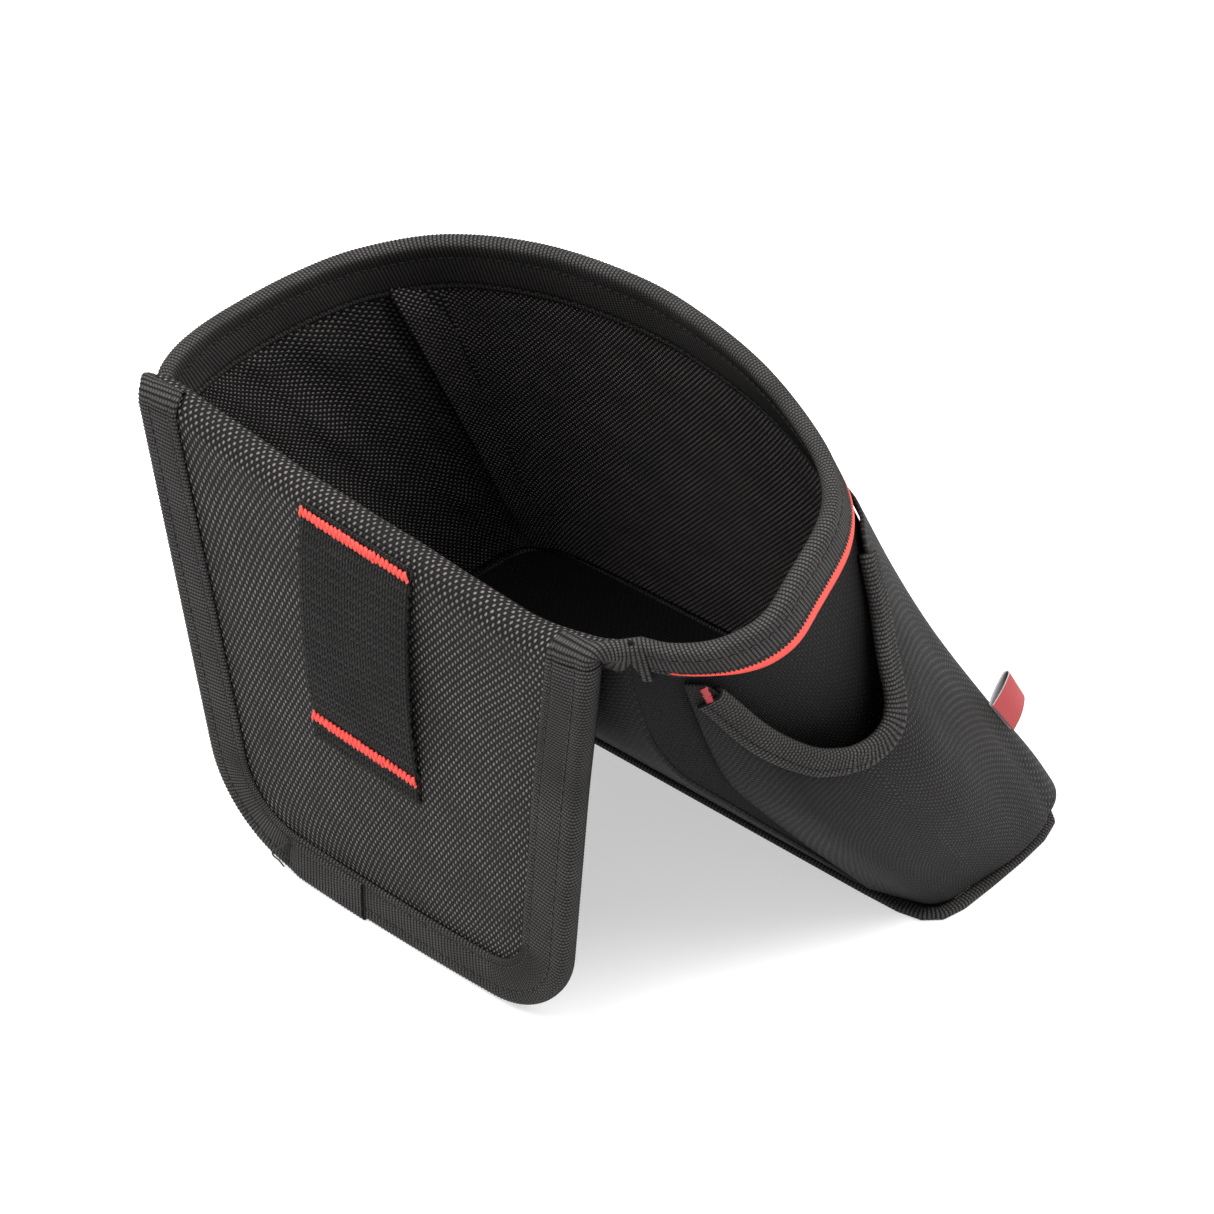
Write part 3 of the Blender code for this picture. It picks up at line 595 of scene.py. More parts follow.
def chevron_group():
    """A narrow braid whose yarns meet in a chevron: Height, Float and Tone."""
    tree, start, end, x, y = new_group(
        "chevron_braid",
        (("Vector", "NodeSocketVector", None), ("Pitch Across", "NodeSocketFloat", 1.2),
         ("Pitch Along", "NodeSocketFloat", 2.0)),
        ("Height", "Float", "Tone"))
    fold = math_node(tree, "PINGPONG", y, start.outputs["Pitch Along"])
    slope = math_node(tree, "ADD", x, math_node(tree, "MULTIPLY", fold, 0.8))
    share = math_node(tree, "DIVIDE", slope, start.outputs["Pitch Across"])
    yarn = math_node(tree, "SINE", math_node(tree, "MULTIPLY", share, math.pi))
    yarn = math_node(tree, "POWER", math_node(tree, "ABSOLUTE", yarn), 0.6)
    fibre = noise(tree, start.outputs["Vector"], 3.5, 3.0)
    tree.links.new(span(tree, yarn, 0.2, 0.9, 0.0, 1.0), end.inputs["Float"])
    height = math_node(tree, "ADD", yarn, math_node(tree, "MULTIPLY", fibre, 0.25))
    tree.links.new(height, end.inputs["Height"])
    tree.links.new(fibre, end.inputs["Tone"])


def cloth_material(name, group, pitches, dark, light, rough, bump, turn=None, specular=0.5):
    """A woven finish: the cloth's colour is painted lighter on the group's floats as a painted
    highlight, and darker on what lies under as painted shade between the yarns; the floats are
    also smoother.
    It follows the cloth's own UV map or, where turn is given, the turned object."""
    made = bpy.data.materials.new(name)
    made.use_nodes = True
    tree = made.node_tree
    shader = tree.nodes["Principled BSDF"]
    weave = tree.nodes.new("ShaderNodeGroup")
    weave.node_tree = bpy.data.node_groups[group]
    weave.inputs["Pitch Across"].default_value = pitches[0]
    weave.inputs["Pitch Along"].default_value = pitches[1]
    if turn is None:
        source = tree.nodes.new("ShaderNodeUVMap")
        source.uv_map = "cloth"
        tree.links.new(source.outputs["UV"], weave.inputs["Vector"])
    else:
        source = tree.nodes.new("ShaderNodeTexCoord")
        mapping = tree.nodes.new("ShaderNodeMapping")
        mapping.inputs["Rotation"].default_value = turn
        mapping.inputs["Scale"].default_value = (1000.0, 1000.0, 1000.0)
        tree.links.new(source.outputs["Object"], mapping.inputs["Vector"])
        tree.links.new(mapping.outputs["Vector"], weave.inputs["Vector"])
    # The float mask mixes the dark colour, painted shade in the hollows, up to the light colour, a
    # painted highlight on the raised yarns.
    shade_to_highlight_mix = tree.nodes.new("ShaderNodeMix")
    shade_to_highlight_mix.data_type = "RGBA"
    shade_to_highlight_mix.inputs[6].default_value = (*dark, 1.0)
    shade_to_highlight_mix.inputs[7].default_value = (*light, 1.0)
    tone = span(tree, weave.outputs["Tone"], 0.25, 0.75, 0.45, 1.15)
    share = math_node(tree, "MULTIPLY", weave.outputs["Float"], tone)
    tree.links.new(share, shade_to_highlight_mix.inputs[0])
    tree.links.new(shade_to_highlight_mix.outputs[2], shader.inputs["Base Color"])
    tree.links.new(span(tree, share, 0.0, 1.0, rough[0], rough[1]), shader.inputs["Roughness"])
    shader.inputs["Specular IOR Level"].default_value = specular
    relief = tree.nodes.new("ShaderNodeBump")
    relief.inputs["Strength"].default_value = 1.0
    relief.inputs["Distance"].default_value = bump * MM
    tree.links.new(weave.outputs["Height"], relief.inputs["Height"])
    tree.links.new(relief.outputs["Normal"], shader.inputs["Normal"])
    return made


def thread_material(name, dark, light, rough, specular=0.5):
    """Twisted sewing thread."""
    return cloth_material(name, "chevron_braid", (0.55, 40.0), dark, light, rough, 0.12,
                          specular=specular)


# ---------------------------------------------------------------- settings
def number_property(label, text, value, low, high):
    return bpy.props.FloatProperty(name=label, description=text, default=value, min=low,
                                   max=high)


def colour_property(label, text, value):
    return bpy.props.FloatVectorProperty(name=label, description=text, default=value, size=3,
                                         min=0.0, max=1.0, subtype="COLOR")


class PouchSettings(bpy.types.PropertyGroup):
    """Sizes and colours of the pouch's finishes."""

    yarn_across: number_property("Yarn across", "Ballistic yarn pitch along the fold, mm",
                                 1.03, 0.3, 4.0)
    yarn_along: number_property("Yarn along", "Ballistic yarn pitch down the flap, mm",
                                1.42, 0.3, 4.0)
    lining_yarn: number_property("Lining yarn", "Yarn pitch of the front lining, mm",
                                 0.82, 0.3, 4.0)
    rib_pitch: number_property("Rib pitch", "Distance between tape ribs, mm", 1.15, 0.5, 4.0)
    rib_height: number_property("Rib height", "Relief of the tape ribs, mm", 0.22, 0.0, 1.0)
    rib_steps: bpy.props.IntProperty(name="Rib steps", description="Grid steps in one tape rib",
                                     default=3, min=1, max=6)
    web_pitch: number_property("Webbing rib", "Distance between webbing ribs, mm", 2.0, 0.8, 6.0)
    wrinkle: number_property("Wrinkle depth", "Depth of the folds in the lining, mm",
                             2.0, 0.0, 5.0)
    # Each deep colour is the cloth's own colour darkened by painted shade between its yarns or
    # ribs; each raised colour is lightened by a painted highlight on them.
    nylon_colour_with_hollow_shade: colour_property("Nylon, deep", "Ballistic nylon between its yarns",
                                (0.003, 0.0026, 0.0025))
    nylon_colour_with_yarn_highlight: colour_property("Nylon, raised", "Ballistic nylon on its yarns",
                                 (0.125, 0.112, 0.107))
    tape_colour_with_hollow_shade: colour_property("Tape, deep", "Grosgrain between its ribs",
                               (0.002, 0.0018, 0.0017))
    tape_colour_with_rib_highlight: colour_property("Tape, raised", "Grosgrain on its ribs", (0.050, 0.047, 0.045))
    webbing_colour_with_rib_highlight: colour_property("Webbing, raised", "Belt-loop webbing on its ribs",
                               (0.018, 0.017, 0.016))
    red_colour_with_hollow_shade: colour_property("Red, deep", "Red tape and thread in its hollows",
                              (0.33, 0.008, 0.006))
    red_colour_with_yarn_highlight: colour_property("Red, raised", "Red tape and thread on its yarns",
                               (0.62, 0.022, 0.014))
    sky: number_property("Surround light", "Strength of the white surroundings", 1.0, 0.0, 5.0)
    key: number_property("Key light", "Power of each large soft light, watts", 16.0, 0.0, 200.0)


# ---------------------------------------------------------------- finishes
class POUCH_OT_finishes(bpy.types.Operator):
    """Makes the woven finishes"""

    bl_idname = "pouch.finishes"
    bl_label = "Finishes"

    def execute(self, context):
        settings = context.scene.pouch
        plain_weave_group()
        ribbed_tape_group()
        chevron_group()
        yarns = (settings.yarn_across, settings.yarn_along)
        dark, light = tuple(settings.nylon_colour_with_hollow_shade), tuple(settings.nylon_colour_with_yarn_highlight)
        cloth_material("ballistic_nylon", "plain_weave", yarns, dark, light, (0.7, 0.55), 0.40,
                       specular=0.14)
        fine = tuple(0.18 * value for value in light)
        cloth_material("pocket_nylon", "plain_weave", (0.95, 1.05), dark, fine, (0.7, 0.55),
                       0.3, specular=0.13)
        # A darker copy of the raised nylon colour: painted shade for the near side wall, which
        # faces down, and for the back wall in the flap's shadow.
        side = tuple(0.07 * value for value in light)
        cloth_material("side_nylon", "plain_weave", (0.95, 1.2), dark, side, (0.7, 0.6),
                       0.3, specular=0.10)
        lining = settings.lining_yarn
        cloth_material("lining_nylon", "plain_weave", (lining, lining * 1.15),
                       (0.004, 0.0035, 0.0035), (0.20, 0.18, 0.175), (0.62, 0.48), 0.28,
                       specular=0.3)
        cloth_material("gusset_nylon", "plain_weave", (1.25, 1.3), (0.004, 0.004, 0.004),
                       (0.13, 0.118, 0.114), (0.6, 0.4), 0.38, specular=0.2)
        cloth_material("grosgrain_tape", "ribbed_tape", (settings.rib_pitch, 0.95),
                       tuple(settings.tape_colour_with_hollow_shade), tuple(settings.tape_colour_with_rib_highlight), (0.75, 0.6), 0.26,
                       specular=0.16)
        cloth_material("belt_webbing", "ribbed_tape", (1.06, settings.web_pitch),
                       tuple(settings.tape_colour_with_hollow_shade), tuple(settings.webbing_colour_with_rib_highlight), (0.75, 0.6), 0.34,
                       specular=0.12)
        cloth_material("red_tape", "chevron_braid", (0.95, 1.6), tuple(settings.red_colour_with_hollow_shade),
                       tuple(settings.red_colour_with_yarn_highlight), (0.7, 0.6), 0.22, specular=0.1)
        thread_material("red_thread", tuple(settings.red_colour_with_hollow_shade), tuple(settings.red_colour_with_yarn_highlight),
                        (0.65, 0.5), 0.15)
        thread_material("pink_thread", (0.10, 0.003, 0.006), (0.42, 0.02, 0.035), (0.55, 0.4))
        thread_material("black_thread", (0.003, 0.003, 0.003), (0.022, 0.021, 0.020),
                        (0.65, 0.5), 0.2)
        cloth_material("panel_lining", "plain_weave", (0.8, 0.9), (0.006, 0.005, 0.005),
                       (0.05, 0.045, 0.044), (0.62, 0.5), 0.2, turn=(math.pi / 2, 0.0, 0.0))
        # The bottom panel's nylon is half that darker copy again: painted shade on the face turned
        # to the floor.
        cloth_material("painted_shade_base_nylon", "plain_weave", yarns, dark,
                       tuple(0.5 * value for value in side), (0.7, 0.6), 0.3,
                       turn=(0.0, 0.0, 0.0), specular=0.05)
        cloth_material("stiffener_board", "plain_weave", (3.0, 3.0), (0.045, 0.045, 0.048),
                       (0.06, 0.06, 0.063), (0.55, 0.5), 0.03, turn=(math.pi / 2, 0.0, 0.0))
        cloth_material("label_face", "ribbed_tape", (0.35, 0.3), (0.16, 0.15, 0.155),
                       (0.42, 0.40, 0.41), (0.7, 0.55), 0.06)
        cloth_material("label_inside", "ribbed_tape", (0.35, 0.3), (0.16, 0.004, 0.006),
                       (0.45, 0.012, 0.016), (0.6, 0.5), 0.06)
        return {"FINISHED"}


# ---------------------------------------------------------------- flap
def fold_profile():
    """(y, z, low x, high x) of the one cloth that runs up the flap, over the fold and
    down inside the back wall."""
    rows = []
    for z in np.linspace(NEAR_LEVEL[0], NEAR_LEVEL[-1], 140):
        rows.append((FLAP_FACE_Y, z, -np.interp(z, FAR_LEVEL, FAR_HALF),
                     np.interp(z, NEAR_LEVEL, NEAR_HALF)))
    for angle in np.linspace(0.0, math.pi, 40)[1:]:
        rows.append((FOLD_Y - FOLD_RADIUS * math.cos(angle),
                     FOLD_Z + FOLD_RADIUS * math.sin(angle), -FAR_HALF[-1],
                     NEAR_HALF[-1] + 2.5 * angle / math.pi))
    for v in np.linspace(0.04, HEM, 120):
        run = back_point(min(v + 0.01, 1.0)) - back_point(max(v - 0.01, 0.0))
        inward = unit(np.array([-run[1], run[0]]))
        y, z = back_point(v) + inward * (CLOTH + BOARD + 2 * GAP + 0.1)
        rows.append((y, z, -83.8 - 5.2 * v + 3.1, 78.5 + 10.5 * v - 3.1))
    return np.array(rows)


class POUCH_OT_fold_cloth(bpy.types.Operator):
    """The cloth of the flap, which rolls over the fold into the mouth"""

    bl_idname = "pouch.fold_cloth"
    bl_label = "Flap and fold cloth"

    def execute(self, context):
        rows = fold_profile()
        run = lengths(rows[:, :2])
        run = run / run[-1]
        wrinkle = context.scene.pouch.wrinkle

        def shape(s, t):
            y, z, low, high = (np.interp(t, run, rows[:, k]) for k in range(4))
            x = low + (high - low) * s
            slope = [np.interp(np.clip(t + 0.004, 0, 1), run, rows[:, k])
                     - np.interp(np.clip(t - 0.004, 0, 1), run, rows[:, k]) for k in range(2)]
            size = np.hypot(slope[0], slope[1])
            out_y, out_z = -slope[1] / size, slope[0] / size
            rim = np.minimum(x - low, high - x)
            outside = y < -6.9
            level = np.minimum(rim, z - NEAR_LEVEL[0])
            puff = 0.32 * ramp(level, ((11.5, -0.4), (22.0, 1.0)))
            roll = ramp(y, ((-6.9, 0.0), (-2.0, 1.0))) * 0.25 * wave(x / 9.0, y, 3.0)
            deep = np.where(y > 0.0, FOLD_Z - z, 0.0)
            fold_in = ramp(deep, ((4.0, 0.0), (22.0, 1.0), (60.0, 1.0), (90.0, 0.3)))
            crease = 0.5 + 0.5 * wave(x / 6.5 + z / 30.0, z / 11.0, 1.0)
            inside = wrinkle * fold_in * crease ** 1.5 * ramp(rim, ((2.0, 0.0), (12.0, 1.0)))
            off = np.where(outside, puff, roll + inside)
            return sagged(np.stack((x, y + out_y * off, z + out_z * off), axis=1))

        obj = cloth_piece("flap_and_fold_cloth", (120, 230), shape, (0.0, -1.0, 0.6), CLOTH,
                          "ballistic_nylon")
        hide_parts("flap_outer_panel", "fold_cloth", "back_lining")
        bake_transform(obj)
        return {"FINISHED"}


FLAP_EDGE = flap_edge()
FLAP_RUN = lengths(FLAP_EDGE)


def flap_frame(s, d):
    """Points on the flap's face, d in from its cloth edge at share s of its three sides."""
    at = s * FLAP_RUN[-1]
    point = np.stack([np.interp(at, FLAP_RUN, FLAP_EDGE[:, k]) for k in (0, 1)], axis=1)
    ahead = np.stack([np.interp(at + 1.5, FLAP_RUN, FLAP_EDGE[:, k]) for k in (0, 1)], axis=1)
    behind = np.stack([np.interp(at - 1.5, FLAP_RUN, FLAP_EDGE[:, k]) for k in (0, 1)], axis=1)
    run = unit(ahead - behind)
    inward = np.stack((-run[:, 1], run[:, 0]), axis=1)
    flat = point + inward * d[:, None]
    level = np.full(len(s), FLAP_FACE_Y)
    points = np.stack((flat[:, 0], level, flat[:, 1]), axis=1)
    normals = np.broadcast_to(np.array([0.0, -1.0, 0.0]), points.shape)
    away = np.stack((-inward[:, 0], np.zeros(len(s)), -inward[:, 1]), axis=1)
    return sagged(points), normals, away


class POUCH_OT_flap_binding(bpy.types.Operator):
    """The tape folded over the flap's three free sides, and its lapped end"""

    bl_idname = "pouch.flap_binding"
    bl_label = "Flap binding"

    def execute(self, context):
        binding = tape_piece("flap_edge_tape", FLAP_RUN[-1], flap_frame, FLAP_BINDING,
                             FLAP_DEPTH)
        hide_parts("flap_edge_binding")
        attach(binding, "flap")
        low = np.abs(FLAP_EDGE[:, 1] - NEAR_LEVEL[0]) < 12.0
        first = np.interp(-40.0, FLAP_EDGE[low, 0], FLAP_RUN[low]) / FLAP_RUN[-1]
        last = np.interp(-9.0, FLAP_EDGE[low, 0], FLAP_RUN[low]) / FLAP_RUN[-1]

        def lap(s, d):
            points, normals, away = flap_frame(first + (last - first) * s, d)
            rise = (0.9 * ramp(s, ((0.0, 0.0), (0.25, 1.0))))[:, None]
            return points + normals * rise, normals, away * (1 + 0.5 * rise)

        length = (last - first) * FLAP_RUN[-1]
        lapped = tape_piece("binding_lap", length, lap, FLAP_BINDING - 1.2, FLAP_DEPTH,
                            lift=0.12)
        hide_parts("binding_overlap")
        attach(lapped, "flap")
        return {"FINISHED"}


class POUCH_OT_flap_layers(bpy.types.Operator):
    """The board and the lining behind the flap's cloth"""

    bl_idname = "pouch.flap_layers"
    bl_label = "Flap layers"

    def execute(self, context):
        board_y = FLAP_FACE_Y + CLOTH + GAP
        lining_y = board_y + BOARD + GAP
        for name, node, y, thick, inset, top, look, slot in (
                ("flap_board", "flap_stiffener_board", board_y, BOARD, 5.0, FOLD_Z - 9.0,
                 "stiffener_board", "stiffener"),
                ("flap_lining_panel", "flap_inner_panel", lining_y, LINING, 0.1, FOLD_Z - 0.6,
                 "panel_lining", "lining_cloth")):

            def shape(s, t, y=y, inset=inset, top=top):
                z = NEAR_LEVEL[0] + inset + (top - NEAR_LEVEL[0] - inset) * t
                low = inset - np.interp(z - inset, FAR_LEVEL, FAR_HALF)
                high = np.interp(z - inset, NEAR_LEVEL, NEAR_HALF) - inset
                return sagged(np.stack((low + (high - low) * s, np.full(len(s), y), z), axis=1))

            obj = cloth_piece(name, (50, 60), shape, (0.0, -1.0, 0.0), thick, look)
            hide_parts(node)
            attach(obj, "flap")
        return {"FINISHED"}


class POUCH_OT_belt_loop(bpy.types.Operator):
    """The ribbed webbing that stands on the flap between two bartacks"""

    bl_idname = "pouch.belt_loop"
    bl_label = "Belt-loop webbing"

    def execute(self, context):
        pitch = context.scene.pouch.web_pitch
        rest = FLAP_FACE_Y - GAP
        half = WEB_WIDTH / 2
        ribs = round((WEB_TOP - WEB_BOTTOM) / pitch)

        def shape(s, t):
            z = WEB_BOTTOM + (WEB_TOP - WEB_BOTTOM) * t
            part = np.clip((z - TACK_BOTTOM - 2.0) / (TACK_TOP - TACK_BOTTOM - 4.0), 0.0, 1.0)
            x = WEB_X + half * (2 * s - 1) * (1 - 0.012 * np.sin(math.pi * part))
            bow = WEB_BOW * np.sin(math.pi * part) ** 0.6
            rib = 0.28 * (np.abs(np.sin(math.pi * t * ribs)) ** 0.7 - 0.5)
            yarn = 0.10 * np.cos(2 * math.pi * (x - WEB_X) / 1.06 + math.pi * np.floor(t * ribs))
            pinch = np.maximum(np.exp(-((z - TACK_TOP) / 1.6) ** 2),
                               np.exp(-((z - TACK_BOTTOM) / 1.6) ** 2))
            edge = 0.35 * ramp(np.abs(2 * s - 1), ((0.94, 0.0), (1.0, 1.0)))
            sway = 0.3 * np.sin(math.pi * part) * np.sin(3.0 * s + 1.0)
            y = rest - WEB_THICK - bow - rib - yarn + 0.35 * pinch + edge - sway
            return np.stack((x, y, z + WEB_TILT * (x - WEB_X)), axis=1)

        obj = cloth_piece("belt_loop", (108, ribs * 6), shape, (0.0, -1.0, 0.0), WEB_THICK * 0.8,
                          "belt_webbing")
        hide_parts("belt_loop_webbing")
        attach(obj, "flap")
        return {"FINISHED"}


class POUCH_OT_loop_bartacks(bpy.types.Operator):
    """The two red zigzag bartacks across the webbing"""

    bl_idname = "pouch.loop_bartacks"
    bl_label = "Loop bartacks"

    def execute(self, context):
        y = FLAP_FACE_Y - GAP - WEB_THICK - 0.12
        for name, z in (("upper_loop_bartack", TACK_TOP), ("lower_loop_bartack", TACK_BOTTOM)):
            reach = WEB_WIDTH / 2 - 0.4
            start = (WEB_X - reach, y, z - WEB_TILT * reach)
            end = (WEB_X + reach, y, z + WEB_TILT * reach)
            passes = zigzag(start, end, (0.0, 0.0, 1.0), (0.0, -1.0, 0.0), 1.5, 3.1)
            middle = [(x + 0.55, depth - 0.28, level) for x, depth, level in passes
                      if -19.0 < x < 2.0]
            bm = thread_bmesh(passes, (0.0, -1.0, 0.0), 0.46)
            again = thread_bmesh(middle, (0.0, -1.0, 0.0), 0.40)
            extra = bpy.data.meshes.new("second_pass")
            again.to_mesh(extra)
            again.free()
            bm.from_mesh(extra)
            bpy.data.meshes.remove(extra)
            obj = made_piece(name + "_thread", bm, "red_thread")
            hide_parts(name)
            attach(obj, "flap")
        return {"FINISHED"}


class POUCH_OT_thread_tail(bpy.types.Operator):
    """The loose end of sewing thread at the binding's lap"""

    bl_idname = "pouch.thread_tail"
    bl_label = "Thread tail"

    def execute(self, context):
        knots = ((-36.5, -9.1, 13.5), (-38.6, -10.0, 11.0), (-41.0, -10.6, 8.6),
                 (-41.6, -10.4, 6.4), (-39.6, -10.0, 5.2), (-38.2, -9.7, 3.6))
        points = spline(knots, np.linspace(0.0, len(knots) - 1, 30))
        bm = thread_bmesh(points, (0.0, -1.0, 0.0), 0.24)
        obj = made_piece("loose_thread", bm, "black_thread")
        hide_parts("thread_tail")
        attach(obj, "flap")
        return {"FINISHED"}


# ---------------------------------------------------------------- pouch
def wall_panel(name, first, last, grid, inset, thick, look, node, low=1.0, ripple=None):
    """One soft panel or lining between two seams, set in from the wall's outside."""

    def shape(s, t):
        u = first + (last - first) * s
        v = np.maximum(t * low, 0.6 / wall_length(u))
        off = -inset + (0.0 if ripple is None else ripple(u, v))
        return wall(u, v) + wall_normal(u, v) * np.reshape(off, (-1, 1))

    facing = wall_normal(np.array([(first + last) / 2]), np.array([0.5]))[0]
    if inset > 1.2:
        facing = -facing
    obj = cloth_piece(name, grid, shape, facing, thick, look)
    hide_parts(node)
    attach(obj, "pouch")
    return obj


class POUCH_OT_walls(bpy.types.Operator):
    """The soft outer walls and the boarded back wall"""

    bl_idname = "pouch.walls"
    bl_label = "Outer walls"

    def execute(self, context):
        def slack(u, v):
            envelope = np.sin(math.pi * np.clip(v, 0, 1)) ** 0.7
            return 0.5 * envelope * wave(u * 2.2, v * 6.0, 2.0) - 0.3 * envelope

        # The near side wall takes the darker nylon copy, painted shade on a wall that faces down.
        wall_panel("near_side_cloth", 0.0, FRONT_NEAR - SEAM_HALF, (80, 90), 0.0, CLOTH,
                   "side_nylon", "near_side_wall")
        wall_panel("front_cloth", FRONT_NEAR + SEAM_HALF, FRONT_FAR - SEAM_HALF, (90, 90), 0.0,
                   CLOTH, "ballistic_nylon", "front_panel", ripple=slack)
        wall_panel("far_side_cloth", FRONT_FAR + SEAM_HALF, LAST, (80, 90), 0.0, CLOTH,
                   "ballistic_nylon", "far_side_wall", ripple=slack)

        def back(s, t):
            run = back_point(np.minimum(t + 0.01, 1.0)) - back_point(np.maximum(t - 0.01, 0.0))
            inward = unit(np.stack((-run[:, 1], run[:, 0]), axis=1))
            line = back_point(t) + inward * (0.25 * (0.5 + 0.5 * wave(s * 9, t * 9, 5.0)))[:, None]
            far, near = -83.6 - 5.2 * t, 78.9 + 10.4 * t
            return sagged(np.stack((far + (near - far) * s, line[:, 0], line[:, 1]), axis=1))

        # The back cloth takes the darker nylon copy, painted shade from the flap's shadow.
        obj = cloth_piece("back_cloth", (80, 90), back, (0.0, -1.0, -1.0), CLOTH * 0.9,
                          "side_nylon")
        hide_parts("back_outer_panel")
        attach(obj, "pouch")
        return {"FINISHED"}


class POUCH_OT_linings(bpy.types.Operator):
    """The inner layers seen through the mouth"""

    bl_idname = "pouch.linings"
    bl_label = "Linings"

    def execute(self, context):
        wrinkle = context.scene.pouch.wrinkle
        inset = CLOTH + 0.4 + LINING

        def far_folds(u, v):
            length = wall_length(u)
            down = ramp(v * length, ((10.0, 0.0), (26.0, 1.0), (120.0, 0.8), (150.0, 0.2)))
            creases = 0.5 + 0.5 * wave(u * 3.6 + v * 5.0, v * 8.0, 4.0)
            return -wrinkle * 1.3 * down * creases ** 1.4

        def front_folds(u, v):
            length = wall_length(u)
            down = ramp(v * length, ((10.0, 0.0), (30.0, 1.0), (120.0, 0.9), (150.0, 0.2)))
            free = ramp(u, ((12.0, 0.0), (12.9, 1.0)))
            slack = 0.5 + 0.5 * wave(u * 1.4, v * 4.0, 7.0)
            return -0.9 * down * slack - 2.4 * free * down - 0.5 * free

        wall_panel("near_gusset", 0.5, FRONT_NEAR - SEAM_HALF, (60, 70), inset, LINING,
                   "gusset_nylon", "near_gusset_lining", HEM)
        wall_panel("front_lining_cloth", FRONT_NEAR + SEAM_HALF, 12.95, (110, 110), inset,
                   LINING, "lining_nylon", "front_lining", HEM, front_folds)
        wall_panel("far_gusset", FRONT_FAR + SEAM_HALF, LAST - 0.42, (90, 110), inset, LINING,
                   "gusset_nylon", "far_gusset_lining", HEM, far_folds)
        return {"FINISHED"}


RIM_LINE = wall(U_TABLE, np.zeros_like(U_TABLE))
RIM_RUN = lengths(RIM_LINE)


def rim_share(first, last):
    """u at each share of the rim's length between two stations."""
    low, high = np.interp((first, last), U_TABLE, RIM_RUN)
    return lambda s: np.interp(low + (high - low) * s, RIM_RUN, U_TABLE), high - low


def rim_frame(u, d):
    v = (d + 0.6) / wall_length(u)
    points = wall(u, v)
    normals = wall_normal(u, np.maximum(v, 0.02))
    away = unit(wall(u, np.zeros_like(u)) - wall(u, np.full_like(u, 0.04)))
    return points, normals, away


class POUCH_OT_mouth_binding(bpy.types.Operator):
    """The tape folded over the rim"""

    bl_idname = "pouch.mouth_binding"
    bl_label = "Mouth binding"

    def execute(self, context):
        u_at, length = rim_share(RIM_START, LAST - RIM_START)
        obj = tape_piece("mouth_tape", length, lambda s, d: rim_frame(u_at(s), d),
                         (RIM_BINDING, RIM_INNER), RIM_DEPTH)
        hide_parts("mouth_binding")
        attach(obj, "pouch")
        return {"FINISHED"}


class POUCH_OT_fold_corners(bpy.types.Operator):
    """The tape where it turns from the flap's sides over the fold onto the rim"""

    bl_idname = "pouch.fold_corners"
    bl_label = "Fold corners"

    def execute(self, context):
        for name, side, station in (("near_corner_tape", 1, RIM_START),
                                    ("far_corner_tape", -1, LAST - RIM_START)):
            outside, normals, away = rim_frame(np.array([station]), np.array([0.0]))
            along = unit(rim_frame(np.array([station + side * 0.05]), np.array([0.0]))[0]
                         - outside)[0]
            into = unit(-away[0] + along * (away[0] @ along))
            off = unit(-normals[0] + along * (normals[0] @ along)
                       + into * (normals[0] @ into))
            flat, _, _ = flap_frame(np.full(2, 1.0 if side > 0 else 0.0),
                                    np.array([0.0, FLAP_BINDING]))
            inward, front = unit(flat[1] - flat[0]), np.array([0.0, -1.0, 0.0])
            start = Matrix((inward, front, np.cross(inward, front))).transposed()
            end = Matrix((into, off, side * along)).transposed()
            over = np.array([0.12 * side, 0.9, 0.35])
            across = inward + (0.0, 0.05, -0.05)
            over, across = unit(over), unit(across - over * (across @ over) / (over @ over))
            middle = Matrix((across, side * np.cross(over, across), side * over)).transposed()
            stages = [turn.to_quaternion() for turn in (start, middle, end)]
            turns = []
            for share in ramp(np.linspace(0, 1, 60), ((0.08, 0.0), (0.5, 1.0), (1.0, 2.0))):
                stage = min(int(share), 1)
                turns.append(stages[stage].slerp(stages[stage + 1], share - stage).to_matrix())
            frames = np.array([[turn.col[k] for k in range(3)] for turn in turns])
            first, last = flat[0], outside[0] - normals[0] * RIM_DEPTH
            roll = FOLD_Z - float(curve(first[0], SAG))
            knots = (first, first + (0.4 * side, 0.9, roll + 3.2 - first[2]),
                     first + (1.8 * side, 4.1, roll + 5.0 - first[2]), last)
            line = spline(knots, np.linspace(0.0, 3.0, 60))
            run = lengths(line)
            skew = np.stack((-away[0] - into, -normals[0] - off))

            def place_on(s, d, frames=frames, line=line, run=run, skew=skew):
                at = s * run[-1]
                point, into, out = (
                    np.stack([np.interp(at, run, rows[:, k]) for k in range(3)], axis=1)
                    for rows in (line, frames[:, 0], frames[:, 1]))
                late = ramp(s, ((0.35, 0.0), (1.0, 1.0)))[:, None]
                into, out = unit(into + late * skew[0]), unit(out + late * skew[1])
                return point + into * d[:, None], out, -into

            obj = tape_piece(name, run[-1], place_on, (FLAP_BINDING, RIM_BINDING - 1),
                             (FLAP_DEPTH, RIM_DEPTH))
            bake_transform(obj)
        return {"FINISHED"}


